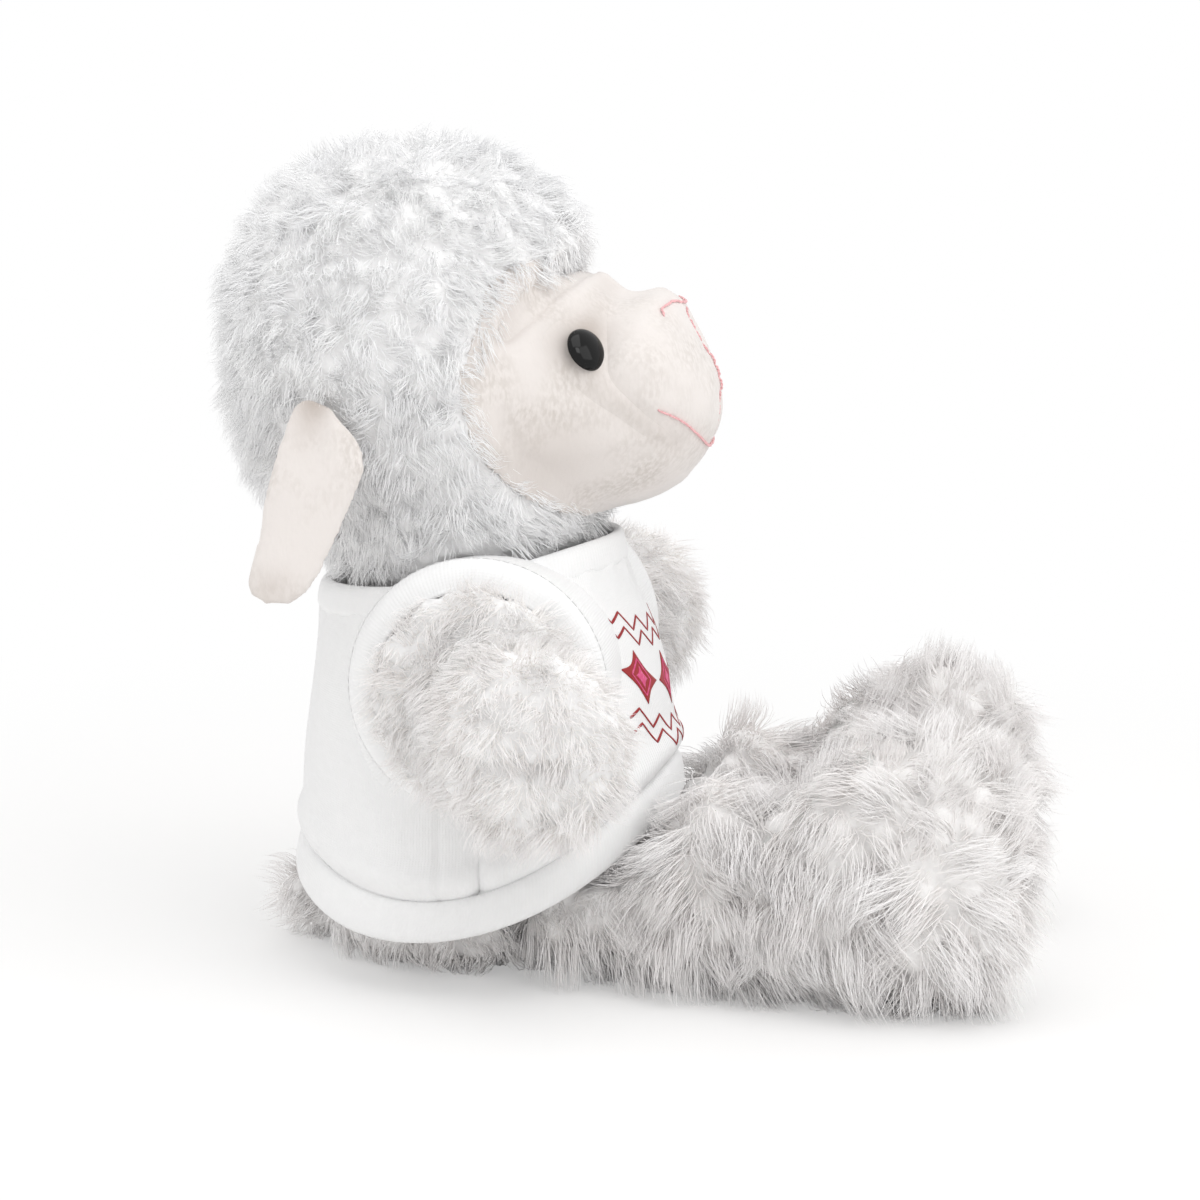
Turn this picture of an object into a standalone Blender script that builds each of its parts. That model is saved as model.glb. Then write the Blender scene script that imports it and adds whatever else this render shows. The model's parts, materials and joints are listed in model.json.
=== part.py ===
"""Plush sheep that sits with its legs out in front, in a white short-sleeved tee.

Metres, +Z up. The sheep looks along -Y and its left side is +X. Places along the body are
written as a distance forward of the shoulders, and to_world turns that into Y.
"""

import math

import bmesh
import bpy
import numpy as np

# Shared clearances and cloth thicknesses, pile included
GAP = 0.0003
WOOL_THICK = 0.0055
SHAG_THICK = 0.0045
VELBOA_THICK = 0.0025
JERSEY_THICK = 0.0012
BAND_THICK = 0.0018
OVERRUN = 0.060
FLAT_DEPTH = 0.0005

# Torso
TORSO_HEIGHT = 0.110
TORSO_WIDTH = 0.085
TORSO_DEPTH = 0.0854
TORSO_FORWARD = 0.005

# Neck: the ball that the head turns and nods on
NECK_RADIUS = 0.0385
NECK_OPENING = 0.018
NECK_WAD_THICK = 0.0035

# Head, from the back of the wool to the nose
HEAD_LENGTH = 0.1215
HEAD_WIDTH = 0.096
HEAD_HEIGHT = 0.108
HEAD_OVERHANG = 0.056

# Ears
EAR_LENGTH = 0.050
EAR_WIDTH = 0.024
EAR_THICK = 0.005

# Eyes and their lock washers
EYE_RADIUS = 0.0053
EYE_DOME = 0.0028
STEM_RADIUS = 0.0014
STEM_LENGTH = 0.0085
WASHER_RADIUS = 0.0055
WASHER_THICK = 0.0012
WASHER_SEAT = 0.0014

# Embroidery thread
THREAD_RADIUS = 0.0005

# Arms
ARM_ROOT_RADIUS = 0.0265
ARM_ROOT_LENGTH = 0.0125
ARM_LENGTH = 0.049
ARM_REACH = 0.0165
HAND_RADIUS = 0.024
ARM_LEFT_SWING = 18.0
ARM_RIGHT_SWING = -17.0

# Legs
HIP_RADIUS = 0.013
HIP_HEIGHT = 0.017
LEG_GAP = 0.016
LEG_LENGTH = 0.111
LEG_WIDTH = 0.047
LEG_SPLAY = 0.018
FOOT_HEIGHT = 0.0682
LEG_UP_ANGLE = 9.0
LEG_DOWN_ANGLE = 54.0

# Tail
TAIL_RADIUS = 0.010
TAIL_TIP = 0.012

# Tee
TEE_HEM_WIDTH = 0.100
TEE_EASE = 0.0011
HEM_BAND = 0.009
NECK_BAND = 0.007
SLEEVE_BAND = 0.008
SLEEVE_LENGTH = 0.012

# Sides of the rings that the soft shapes are lofted from
RING_SIDES = 16
LIMB_SIDES = 14
TEE_SIDES = 20
NECK_SIDES = 24
NECK_ROWS = 16
NECK_WAD_ROWS = 3
EYE_SIDES = 12
TEE_ROWS = 5
THREAD_SIDES = 6
EAR_POINTS = 7
BALL_ROWS = 8
POCKET_STEPS = 10

# Halvings when a place on a surface is searched for, and the angle that still shades smooth
BISECTIONS = 40
SMOOTH_ANGLE = 50.0

# Torso outline: share of height, of depth forward of its middle, of half depth, of half width
TORSO_SHARES = (
    (0.000, -0.100, 0.50, 0.55),
    (0.030, -0.080, 0.76, 0.78),
    (0.095, -0.050, 0.91, 0.92),
    (0.190, -0.025, 0.97, 0.98),
    (0.320, -0.005, 0.995, 0.995),
    (0.460, 0.000, 1.00, 0.985),
    (0.600, -0.005, 0.965, 0.965),
    (0.740, -0.020, 0.890, 0.910),
    (0.850, -0.038, 0.815, 0.760),
    (0.940, -0.046, 0.740, 0.720),
    (0.990, -0.050, 0.600, 0.600),
)

# Head outline: share of length from the back, of half width, of height at its top and bottom,
# and how far its sides lean back as a share of length
WOOL_SHARES = (
    (0.018, 0.42, 0.740, 0.320, 0.000),
    (0.075, 0.68, 0.870, 0.180, 0.000),
    (0.175, 0.875, 0.955, 0.080, 0.005),
    (0.305, 0.980, 0.996, 0.015, 0.025),
    (0.445, 1.000, 1.000, 0.005, 0.058),
    (0.575, 0.980, 0.968, 0.035, 0.100),
    (0.680, 0.925, 0.890, 0.090, 0.142),
    (0.750, 0.850, 0.775, 0.150, 0.180),
)
FACE_SHARES = (
    (0.753, 0.780, 0.722, 0.168, 0.178),
    (0.780, 0.735, 0.678, 0.164, 0.140),
    (0.815, 0.655, 0.648, 0.172, 0.100),
    (0.845, 0.600, 0.652, 0.182, 0.072),
    (0.880, 0.560, 0.660, 0.198, 0.052),
    (0.920, 0.520, 0.630, 0.226, 0.034),
    (0.960, 0.420, 0.545, 0.280, 0.018),
    (0.988, 0.260, 0.470, 0.340, 0.006),
)
WOOL_POLE_SHARE = 0.530
NOSE_POLE_SHARE = 0.395
WOOL_BASE_SHARE = -0.235

# Leg outline: share of length from the hip, of splay, of half width, of foot height at top
# and bottom
LEG_SHARES = (
    (-0.030, 0.00, 0.62, 0.400, 0.095),
    (0.060, 0.00, 0.69, 0.432, 0.045),
    (0.150, 0.06, 0.78, 0.445, 0.010),
    (0.215, 0.15, 0.83, 0.520, -0.008),
    (0.290, 0.30, 0.87, 0.650, -0.008),
    (0.400, 0.48, 0.87, 0.680, -0.008),
    (0.480, 0.65, 0.89, 0.745, -0.008),
    (0.560, 0.78, 0.93, 0.880, -0.008),
    (0.670, 0.90, 0.98, 0.980, -0.008),
    (0.790, 0.97, 1.00, 1.000, -0.008),
    (0.890, 1.00, 0.92, 0.950, 0.020),
    (0.960, 1.00, 0.66, 0.810, 0.150),
)
LEG_POLE_SHARE = 0.540

# Arm outline: share of the way to the hand end, of the hand's reach, and of the radius between
# root and hand
ARM_SHARES = (
    (0.33, 0.14, 0.95),
    (0.45, 0.36, 0.85),
    (0.58, 0.60, 0.91),
    (0.74, 0.82, 0.90),
    (0.88, 0.95, 0.68),
    (0.97, 1.00, 0.36),
)

# Tee outline: share of torso height, of torso depth forward, of half depth, and how far its
# width has gone from the torso's to the hem's
TEE_SHARES = (
    (0.08, 0.000, 1.020, 1.00),
    (0.20, 0.000, 1.025, 1.00),
    (0.32, 0.000, 1.020, 0.82),
    (0.46, 0.000, 1.010, 0.42),
    (0.60, -0.005, 0.970, 0.10),
    (0.74, -0.020, 0.892, 0.00),
    (0.85, -0.038, 0.815, 0.00),
    (0.94, -0.046, 0.740, 0.00),
    (0.99, -0.050, 0.600, 0.00),
)
HEM_HEIGHT_SHARES = (0.209, 0.082, 0.073)

# Hip root's outer end: share of its length and of its radius
HIP_END_SHARES = ((0.62, 1.00), (0.82, 0.90), (0.94, 0.66), (0.99, 0.34))

# Tail outline: share of its radius ahead of the pivot or of its tip behind it, and of radius
TAIL_SHARES = (
    (-0.924, 0.383),
    (-0.707, 0.707),
    (-0.383, 0.924),
    (0.000, 1.000),
    (0.380, 0.900),
    (0.720, 0.640),
    (0.930, 0.320),
)

# Ear outline: share of length down from the root, of half width, of half thickness
EAR_SHARES = (
    (0.00, 0.52, 0.70),
    (0.10, 0.80, 0.90),
    (0.24, 1.00, 1.00),
    (0.42, 0.94, 1.00),
    (0.60, 0.78, 0.95),
    (0.78, 0.60, 0.85),
    (0.92, 0.42, 0.62),
)

# Eye dome: share of its height and of its radius
DOME_SHARES = ((0.00, 0.90), (0.12, 1.00), (0.42, 0.90), (0.76, 0.62), (0.95, 0.28))

# Embroidery on the muzzle: shares of half the head's width and of the head's height
NOSE_STITCH_SHARES = (
    (0.020, 0.510),
    (0.190, 0.552),
    (0.295, 0.600),
    (0.180, 0.634),
    (0.000, 0.645),
    (-0.180, 0.634),
    (-0.295, 0.600),
    (-0.190, 0.552),
    (-0.020, 0.510),
)
LIP_STITCH_SHARES = ((0.000, 0.495), (0.000, 0.450), (0.000, 0.400), (0.000, 0.345))
MOUTH_STITCH_SHARES = (
    (0.400, 0.412),
    (0.330, 0.374),
    (0.240, 0.345),
    (0.120, 0.326),
    (0.000, 0.320),
    (-0.120, 0.326),
    (-0.240, 0.345),
    (-0.330, 0.374),
    (-0.400, 0.412),
)
EAR_SLOPE_SHARES = (0.150, -0.290, -0.945)

# Places on the torso and head, as shares of their sizes
NECK_UP_SHARE = 1.067
NECK_FORWARD_SHARE = -0.105
SHOULDER_UP_SHARE = 0.668
SHOULDER_FORWARD_SHARE = 0.052
SHOULDER_OUT_SHARE = 0.440
HIP_FORWARD_SHARE = 0.270
TAIL_UP_SHARE = 0.105
PELLET_TOP_SHARE = 0.240
NECKLINE_SHARE = 0.300
ARM_HOLE_START_SHARE = 0.800
SIDE_SEAM_SHARE = 0.100
LEG_ROOT_SIDE_SHARE = 0.720
LEG_RISE_SHARE = 0.200
HIP_LENGTH_SHARE = 0.700
HAND_SWELL_SHARE = 1.160
TAIL_BACK_SHARE = 0.503
EYE_UP_SHARE = 0.548
EYE_OUT_SHARE = 0.560
EAR_UP_SHARE = 0.430
EAR_FORWARD_SHARE = 0.292

# Derived places: side, forward, up
TOE_FORWARD = TORSO_FORWARD + HIP_FORWARD_SHARE * TORSO_DEPTH + LEG_LENGTH
NECK = (
    0.0,
    TORSO_FORWARD + NECK_FORWARD_SHARE * TORSO_DEPTH,
    NECK_UP_SHARE * TORSO_HEIGHT,
)
HEAD_BACK = NECK[1] - HEAD_OVERHANG
HEAD_BASE = NECK[2] + WOOL_BASE_SHARE * HEAD_HEIGHT
MIDDLE = (TOE_FORWARD + HEAD_BACK) / 2
HIP_FORWARD = TORSO_FORWARD + HIP_FORWARD_SHARE * TORSO_DEPTH
SHOULDER_FORWARD = TORSO_FORWARD + SHOULDER_FORWARD_SHARE * TORSO_DEPTH
SHOULDER_UP = SHOULDER_UP_SHARE * TORSO_HEIGHT
SHOULDER_OUT = SHOULDER_OUT_SHARE * TORSO_WIDTH
TAIL_FORWARD = TORSO_FORWARD - TAIL_BACK_SHARE * TORSO_DEPTH
TAIL_UP = TAIL_UP_SHARE * TORSO_HEIGHT
LEFT, RIGHT = 1, -1
SIDES = (("left", LEFT), ("right", RIGHT))


def to_world(points):
    """Side, forward and up places turned into X, Y and Z."""
    points = np.asarray(points, float)
    return np.stack([points[..., 0], MIDDLE - points[..., 1], points[..., 2]], axis=-1)


def clear_scene():
    """Empties the scene before the sheep is built."""
    for old in list(bpy.data.objects):
        bpy.data.objects.remove(old, do_unlink=True)


def cloth(name, colour, roughness):
    """A matte or glossy material for one piece."""
    material = bpy.data.materials.new(name)
    material.use_nodes = True
    shader = material.node_tree.nodes["Principled BSDF"]
    shader.inputs["Base Color"].default_value = (*colour, 1.0)
    shader.inputs["Roughness"].default_value = roughness
    shader.inputs["Metallic"].default_value = 0.0
    material.diffuse_color = (*colour, 1.0)
    return material


def make_object(name, rings, poles, material=None, joined=False):
    """A closed body from rings of equal length.

    With poles, the first and last ring close on a point. With joined, the last ring is bridged
    back to the first, as on a tube with a thick wall.
    """
    shape = bmesh.new()
    rows = [[shape.verts.new(tuple(p)) for p in to_world(ring)] for ring in rings]
    pairs = list(zip(rows, rows[1:]))
    if joined:
        pairs.append((rows[-1], rows[0]))
    for lower, upper in pairs:
        for i in range(len(lower)):
            j = (i + 1) % len(lower)
            shape.faces.new((lower[i], lower[j], upper[j], upper[i]))
    for row, pole in zip((rows[0], rows[-1]), poles):
        tip = shape.verts.new(tuple(to_world(pole)))
        for i in range(len(row)):
            shape.faces.new((row[i], row[(i + 1) % len(row)], tip))
    return finish_mesh(name, shape, material)


def finish_mesh(name, shape, material=None):
    """Turns a bmesh into an object with its faces pointing out, or a cutter without material."""
    shape.normal_update()
    bmesh.ops.recalc_face_normals(shape, faces=shape.faces)
    mesh = bpy.data.meshes.new(name)
    shape.to_mesh(mesh)
    shape.free()
    piece = bpy.data.objects.new(name, mesh)
    bpy.context.scene.collection.objects.link(piece)
    if material is None:
        piece.hide_render = True
        piece.display_type = "WIRE"
    else:
        mesh.materials.append(material)
        mesh.shade_smooth()
        mesh.set_sharp_from_angle(angle=math.radians(SMOOTH_ANGLE))
    return piece


def combine(piece, tool, operation="DIFFERENCE"):
    """Cuts or joins a piece with a tool by a Boolean modifier."""
    step = piece.modifiers.new(tool.name, "BOOLEAN")
    step.operation = operation
    step.object = tool
    step.solver = "EXACT"


def axis_empty(name, place):
    """An empty on a joint's axis, which carries the pieces that move about it."""
    empty = bpy.data.objects.new(name, None)
    bpy.context.scene.collection.objects.link(empty)
    empty.location = tuple(to_world(place))
    return empty


def hang_on(piece, empty):
    """Parents a piece to an empty and leaves it where it is."""
    piece.parent = empty
    piece.matrix_parent_inverse = empty.matrix_basis.inverted()


def ball(name, centre, radius, sides=RING_SIDES, rows=BALL_ROWS, around=False):
    """A round cutter or joint ball. With around, its flats lie outside the radius, so that a
    ball of that radius turns inside it."""
    if around:
        radius = clear_radius(radius, sides, rows)
    rings = []
    for row in range(1, rows):
        polar = math.pi * row / rows
        rings.append(flat_ring(centre, radius * math.sin(polar), -radius * math.cos(polar), sides))
    ends = [np.add(centre, (0, 0, -radius)), np.add(centre, (0, 0, radius))]
    return make_object(name, rings, ends)


def clear_radius(radius, sides, rows):
    """The corner radius of a faceted ball whose flats still clear a true ball."""
    return radius / (math.cos(math.pi / sides) * math.cos(math.pi / rows / 2))


def flat_ring(centre, radius, lift, sides):
    """A level circle about a centre, lifted above it."""
    turn = np.linspace(0, 2 * math.pi, sides, endpoint=False)
    return np.stack(
        [
            centre[0] + radius * np.cos(turn),
            centre[1] + radius * np.sin(turn),
            np.full(sides, centre[2] + lift),
        ],
        axis=1,
    )


def spun_rings(centre, profile, sides):
    """Rings about the side-to-side axis through centre, from (out, radius) pairs."""
    turn = np.linspace(0, 2 * math.pi, sides, endpoint=False)
    rings = []
    for out, radius in profile:
        ring = np.stack(
            [
                np.full(sides, out),
                centre[1] + radius * np.cos(turn),
                centre[2] + radius * np.sin(turn),
            ],
            axis=1,
        )
        rings.append(ring)
    return rings


def upright_ring(side, half_side, forward, low, high, lean=0.0, sides=RING_SIDES):
    """A ring square to the forward axis whose sides lean back."""
    turn = np.linspace(0, 2 * math.pi, sides, endpoint=False)
    return np.stack(
        [
            side + half_side * np.cos(turn),
            forward - lean * np.cos(turn) ** 2,
            (high + low) / 2 + (high - low) / 2 * np.sin(turn),
        ],
        axis=1,
    )


def block(name, low, high):
    """A box cutter between two corners."""
    shape = bmesh.new()
    bmesh.ops.create_cube(shape, size=1.0)
    low, high = np.array(low), np.array(high)
    for vert in shape.verts:
        place = (low + high) / 2 + np.array(vert.co) * (high - low)
        vert.co = tuple(to_world(place))
    return finish_mesh(name, shape)


def prism(name, outline, inner, outer):
    """A cutter with an outline of (forward, up) points, from one side distance to another."""
    shape = bmesh.new()
    rows = []
    for side in (inner, outer):
        rows.append([shape.verts.new(tuple(to_world((side, f, u)))) for f, u in outline])
    shape.faces.new(rows[0])
    shape.faces.new(rows[1])
    for i in range(len(outline)):
        j = (i + 1) % len(outline)
        shape.faces.new((rows[0][i], rows[0][j], rows[1][j], rows[1][i]))
    return finish_mesh(name, shape)


def torso_ring(row, inset=0.0):
    """A level ring of the torso outline, drawn in by inset."""
    up, forward, deep, wide = row
    turn = np.linspace(0, 2 * math.pi, RING_SIDES, endpoint=False)
    middle = TORSO_FORWARD + forward * TORSO_DEPTH
    height = inset + up * (TORSO_HEIGHT - 2 * inset)
    return np.stack(
        [
            (wide * TORSO_WIDTH / 2 - inset) * np.cos(turn),
            middle + (deep * TORSO_DEPTH / 2 - inset) * np.sin(turn),
            np.full(RING_SIDES, height - FLAT_DEPTH),
        ],
        axis=1,
    )


def torso_solid(name, inset, material=None):
    """The whole torso outline as one closed shape, drawn in by inset."""
    rings = [torso_ring(row, inset) for row in TORSO_SHARES]
    poles = [ring.mean(axis=0) for ring in (rings[0], rings[-1])]
    poles[1] = poles[1] + (0, 0, (TORSO_HEIGHT - 2 * inset) * (1 - TORSO_SHARES[-1][0]))
    return make_object(name, rings, poles, material)


def hip_pocket(side, clearance):
    """The space that a leg's root turns in, and the swing of the leg in front of it."""
    radius = HIP_RADIUS + clearance
    inner = side * (LEG_GAP / 2 - clearance)
    low, high = math.radians(-LEG_DOWN_ANGLE), math.radians(LEG_UP_ANGLE)
    rise = math.asin(LEG_RISE_SHARE) + high
    outline = []
    for turn in np.linspace(low - math.pi / 2, high - 3 * math.pi / 2, POCKET_STEPS):
        outline.append(
            (HIP_FORWARD + radius * math.cos(turn), HIP_HEIGHT + radius * math.sin(turn))
        )
    first, last = outline[0], outline[-1]
    outline.append((last[0] + OVERRUN, last[1] + OVERRUN * math.tan(rise)))
    outline.append((first[0] + 2 * OVERRUN, first[1] - OVERRUN))
    outline.append((first[0] + OVERRUN * math.cos(low), first[1] + OVERRUN * math.sin(low)))
    return prism("hip_space", outline, inner, side * TORSO_WIDTH)


def shoulder_disc(side, clearance):
    """The flat pocket in the torso's side that an arm's root sits against."""
    radius = (ARM_ROOT_RADIUS + clearance) / math.cos(math.pi / TEE_SIDES)
    inner = side * (SHOULDER_OUT - GAP)
    outer = side * TORSO_WIDTH
    centre = (0, SHOULDER_FORWARD, SHOULDER_UP)
    rings = spun_rings(centre, [(inner, radius), (outer, radius)], TEE_SIDES)
    ends = [(inner, *centre[1:]), (outer, *centre[1:])]
    return make_object("shoulder_space", rings, ends)


def wad_space():
    """The room inside the torso's opening that the neck's filling keeps."""
    deep = NECK_RADIUS + NECK_WAD_THICK + 3 * GAP
    radius = deep * math.sin(math.pi * NECK_WAD_ROWS / NECK_ROWS) + GAP
    rings = [flat_ring(NECK, radius, -deep, NECK_SIDES), flat_ring(NECK, radius, 0, NECK_SIDES)]
    return make_object("wad_space", rings, [np.add(NECK, (0, 0, -deep)), NECK])


def carve_torso(piece, clearance, neck_radius):
    """Cuts what meets the torso out of one of its layers."""
    combine(piece, ball("neck_space", NECK, neck_radius, NECK_SIDES, NECK_ROWS, True))
    for _, side in SIDES:
        combine(piece, hip_pocket(side, clearance))
        combine(piece, shoulder_disc(side, clearance))
    tail_centre = (0.0, TAIL_FORWARD, TAIL_UP)
    tail_space = ball("tail_space", tail_centre, TAIL_RADIUS + clearance, around=True)
    combine(piece, tail_space)


def floor_cut(piece):
    """Cuts a piece flat where it stands."""
    reach = LEG_LENGTH + TORSO_DEPTH
    combine(piece, block("floor_space", (-reach, -reach, -reach), (reach, 2 * reach, 0)))


def make_torso():
    """The fur cover, its filling and the bag of pellets that weighs the seat down."""
    cover = torso_solid("body_cover", 0.0, cloth("body_pile", (0.86, 0.85, 0.84), 0.95))
    combine(cover, torso_solid("body_inside", SHAG_THICK))
    carve_torso(cover, GAP, NECK_RADIUS + GAP)
    combine(cover, wad_space())
    floor_cut(cover)

    inset = SHAG_THICK + GAP
    pellet_top = PELLET_TOP_SHARE * TORSO_HEIGHT
    reach = TORSO_HEIGHT
    filling = torso_solid("body_filling", inset, cloth("filling", (0.93, 0.93, 0.92), 1.0))
    carve_torso(filling, 2 * GAP, NECK_RADIUS + NECK_WAD_THICK + 3 * GAP)
    combine(filling, block("pellet_space", (-reach, -reach, -reach), (reach, reach, pellet_top)))

    pellets = torso_solid("pellet_bag", inset, cloth("pellet_cloth", (0.80, 0.80, 0.78), 0.9))
    carve_torso(pellets, 2 * GAP, NECK_RADIUS)
    top = pellet_top - GAP
    combine(pellets, block("above_pellets", (-reach, -reach, top), (reach, reach, 2 * reach)))
    front = HIP_FORWARD - HIP_RADIUS
    combine(pellets, block("ahead_of_pellets", (-reach, front, -reach), (reach, reach, reach)))


def leg_rings(side, inset):
    """Rings along one leg, from inside its root to the toe."""
    rings = []
    for along, splay, wide, high, low in LEG_SHARES:
        centre = LEG_GAP / 2 + LEG_WIDTH / 2 * LEG_ROOT_SIDE_SHARE + splay * LEG_SPLAY
        forward = HIP_FORWARD + along * (LEG_LENGTH - inset)
        ring = upright_ring(
            side * centre,
            wide * LEG_WIDTH / 2 - inset,
            forward,
            low * FOOT_HEIGHT + inset,
            high * FOOT_HEIGHT - inset,
            sides=LIMB_SIDES,
        )
        rings.append(ring)
    return rings


def leg_solid(name, side, inset, material=None):
    """A leg's outline: the foot and shin lofted forward, joined to the turned hip root."""
    rings = leg_rings(side, inset)
    poles = [rings[0].mean(axis=0), rings[-1].mean(axis=0)]
    poles[1][1] = HIP_FORWARD + LEG_LENGTH - inset
    poles[1][2] = LEG_POLE_SHARE * FOOT_HEIGHT
    leg = make_object(name, rings, poles, material)
    radius = HIP_RADIUS - inset
    start = LEG_GAP / 2 + inset
    width = LEG_WIDTH * HIP_LENGTH_SHARE
    profile = [(side * start, radius)]
    for share, narrow in HIP_END_SHARES:
        profile.append((side * (start + share * (width - 2 * inset)), radius * narrow))
    centre = (0, HIP_FORWARD, HIP_HEIGHT)
    ends = [(profile[0][0], *centre[1:]), (profile[-1][0], *centre[1:])]
    root = make_object(name + "_root", spun_rings(centre, profile, LIMB_SIDES), ends)
    combine(leg, root, "UNION")
    return leg


def make_leg(name, side):
    """One leg's shaggy cover and its filling, hung on the hip's axis."""
    axis = axis_empty("hip_axis_" + name, (0, HIP_FORWARD, HIP_HEIGHT))
    pile = cloth("leg_pile_" + name, (0.84, 0.82, 0.81), 0.95)
    cover = leg_solid("leg_cover_" + name, side, 0.0, pile)
    combine(cover, leg_solid("leg_inside", side, SHAG_THICK))
    mouth = HIP_RADIUS - SHAG_THICK
    ends = (side * LEG_GAP / 4, side * (LEG_GAP / 2 + 2 * SHAG_THICK))
    profile = [(ends[0], mouth), (ends[1], mouth)]
    centre = (0, HIP_FORWARD, HIP_HEIGHT)
    caps = [(ends[0], *centre[1:]), (ends[1], *centre[1:])]
    combine(cover, make_object("leg_mouth", spun_rings(centre, profile, RING_SIDES), caps))
    floor_cut(cover)
    white = cloth("leg_filling_" + name, (0.93, 0.93, 0.92), 1.0)
    filling = leg_solid("leg_filling_" + name, side, SHAG_THICK + 2 * GAP, white)
    for piece in (cover, filling):
        hang_on(piece, axis)


def arm_rings(side, swing, inset):
    """Rings along one arm: a turned root, then a curve towards the hand."""
    angle = math.radians(swing)
    towards = (ARM_REACH * math.cos(angle), ARM_REACH * math.sin(angle))
    radius = ARM_ROOT_RADIUS - inset
    profile = [(side * SHOULDER_OUT, radius), (side * (SHOULDER_OUT + ARM_ROOT_LENGTH), radius)]
    centre = (0, SHOULDER_FORWARD, SHOULDER_UP)
    rings = spun_rings(centre, profile, LIMB_SIDES)
    for along, reach, wide in ARM_SHARES:
        size = wide * ARM_ROOT_RADIUS * (1 - reach) + wide_hand(wide) * reach - inset
        place = (
            0,
            SHOULDER_FORWARD + reach * towards[0],
            SHOULDER_UP + reach * towards[1],
        )
        out = side * (SHOULDER_OUT + along * (ARM_LENGTH - inset))
        rings += spun_rings(place, [(out, size)], LIMB_SIDES)
    tip = (
        side * (SHOULDER_OUT + ARM_LENGTH - inset),
        SHOULDER_FORWARD + towards[0],
        SHOULDER_UP + towards[1],
    )
    return rings, tip


def wide_hand(wide):
    """The hand's radius where the arm is this share of its root."""
    return HAND_RADIUS * min(1.0, wide * HAND_SWELL_SHARE)


def make_arm(name, side, swing):
    """One arm's cover, open where it is sewn on, and its filling."""
    axis = axis_empty("shoulder_axis_" + name, (0, SHOULDER_FORWARD, SHOULDER_UP))
    pile = cloth("arm_pile_" + name, (0.87, 0.85, 0.84), 0.95)
    rings, tip = arm_rings(side, swing, 0.0)
    mouth = (side * SHOULDER_OUT, SHOULDER_FORWARD, SHOULDER_UP)
    cover = make_object("arm_cover_" + name, rings, [mouth, tip], pile)
    rings, tip = arm_rings(side, swing, WOOL_THICK)
    outside = rings[0] - (side * OVERRUN / 4, 0, 0)
    outer_end = np.subtract(mouth, (side * OVERRUN / 4, 0, 0))
    inside = make_object("arm_inside", [outside] + rings, [outer_end, tip])
    combine(cover, inside)
    rings, tip = arm_rings(side, swing, WOOL_THICK + GAP)
    white = cloth("arm_filling_" + name, (0.93, 0.93, 0.92), 1.0)
    filling = make_object("arm_filling_" + name, rings, [mouth, tip], white)
    for piece in (cover, filling):
        hang_on(piece, axis)


def make_tail():
    """The tail's tuft, round where it sits in the torso."""
    axis = axis_empty("tail_axis", (0, TAIL_FORWARD, TAIL_UP))
    rings = []
    for along, wide in TAIL_SHARES:
        back = along * (TAIL_TIP if along > 0 else TAIL_RADIUS)
        radius = wide * TAIL_RADIUS
        ring = upright_ring(0, radius, TAIL_FORWARD - back, TAIL_UP - radius, TAIL_UP + radius)
        rings.append(ring)
    poles = [(0, TAIL_FORWARD + TAIL_RADIUS, TAIL_UP), (0, TAIL_FORWARD - TAIL_TIP, TAIL_UP)]
    tail = make_object("tail", rings, poles, cloth("tail_pile", (0.85, 0.83, 0.82), 0.95))
    hang_on(tail, axis)


def head_ring(row, inset):
    """A ring of the head's outline, drawn in by inset."""
    along, wide, high, low, lean = row
    return upright_ring(
        0,
        wide * HEAD_WIDTH / 2 - inset,
        HEAD_BACK + inset + along * (HEAD_LENGTH - 2 * inset),
        HEAD_BASE + low * HEAD_HEIGHT + inset,
        HEAD_BASE + high * HEAD_HEIGHT - inset,
        lean * HEAD_LENGTH,
    )


def head_pole(up, forward):
    """A point on the head's middle line."""
    return (0, forward, HEAD_BASE + up * HEAD_HEIGHT)


def wool_solid(name, inset, reach, material=None):
    """The wool part of the head as a closed shape that reaches forward past the face seam."""
    rings = [head_ring(row, inset) for row in WOOL_SHARES]
    if reach:
        rings.append(rings[-1] + (0, reach, 0))
    back = head_pole(WOOL_POLE_SHARE, HEAD_BACK + inset)
    lean = WOOL_SHARES[-1][-1] * HEAD_LENGTH
    front = rings[-1].mean(axis=0) - (0, lean / 2 if not reach else 0, 0)
    return make_object(name, rings, [back, front], material)


def face_rings(inset):
    """The face's rings from its seam to the nose."""
    return [head_ring(row, inset) for row in FACE_SHARES]


def nose_tip(inset):
    """The foremost point of the muzzle."""
    return head_pole(NOSE_POLE_SHARE, HEAD_BACK + HEAD_LENGTH - inset)


def make_head_wool(axis):
    """The curly cover of the head with the neck ball's lower half, open at face and neck."""
    pile = cloth("head_wool", (0.88, 0.87, 0.86), 0.95)
    cover = wool_solid("head_wool_cover", 0.0, 0, pile)
    combine(cover, ball("neck_ball", NECK, NECK_RADIUS, NECK_SIDES, NECK_ROWS), "UNION")
    combine(cover, wool_solid("wool_inside", WOOL_THICK, WOOL_THICK))
    combine(cover, ball("neck_inside", NECK, NECK_RADIUS - WOOL_THICK, NECK_SIDES, NECK_ROWS))
    mouth = make_object(
        "neck_mouth",
        [
            flat_ring(NECK, NECK_OPENING, -2 * NECK_RADIUS, RING_SIDES),
            flat_ring(NECK, NECK_OPENING, 0, RING_SIDES),
        ],
        [np.add(NECK, (0, 0, -2 * NECK_RADIUS)), NECK],
    )
    combine(cover, mouth)
    rings = face_rings(-2 * GAP)
    behind = rings[0] - (0, 3 * GAP, 0)
    face = make_object("face_space", [behind] + rings, [behind.mean(axis=0), nose_tip(-2 * GAP)])
    combine(cover, face)
    hang_on(cover, axis)


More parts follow.
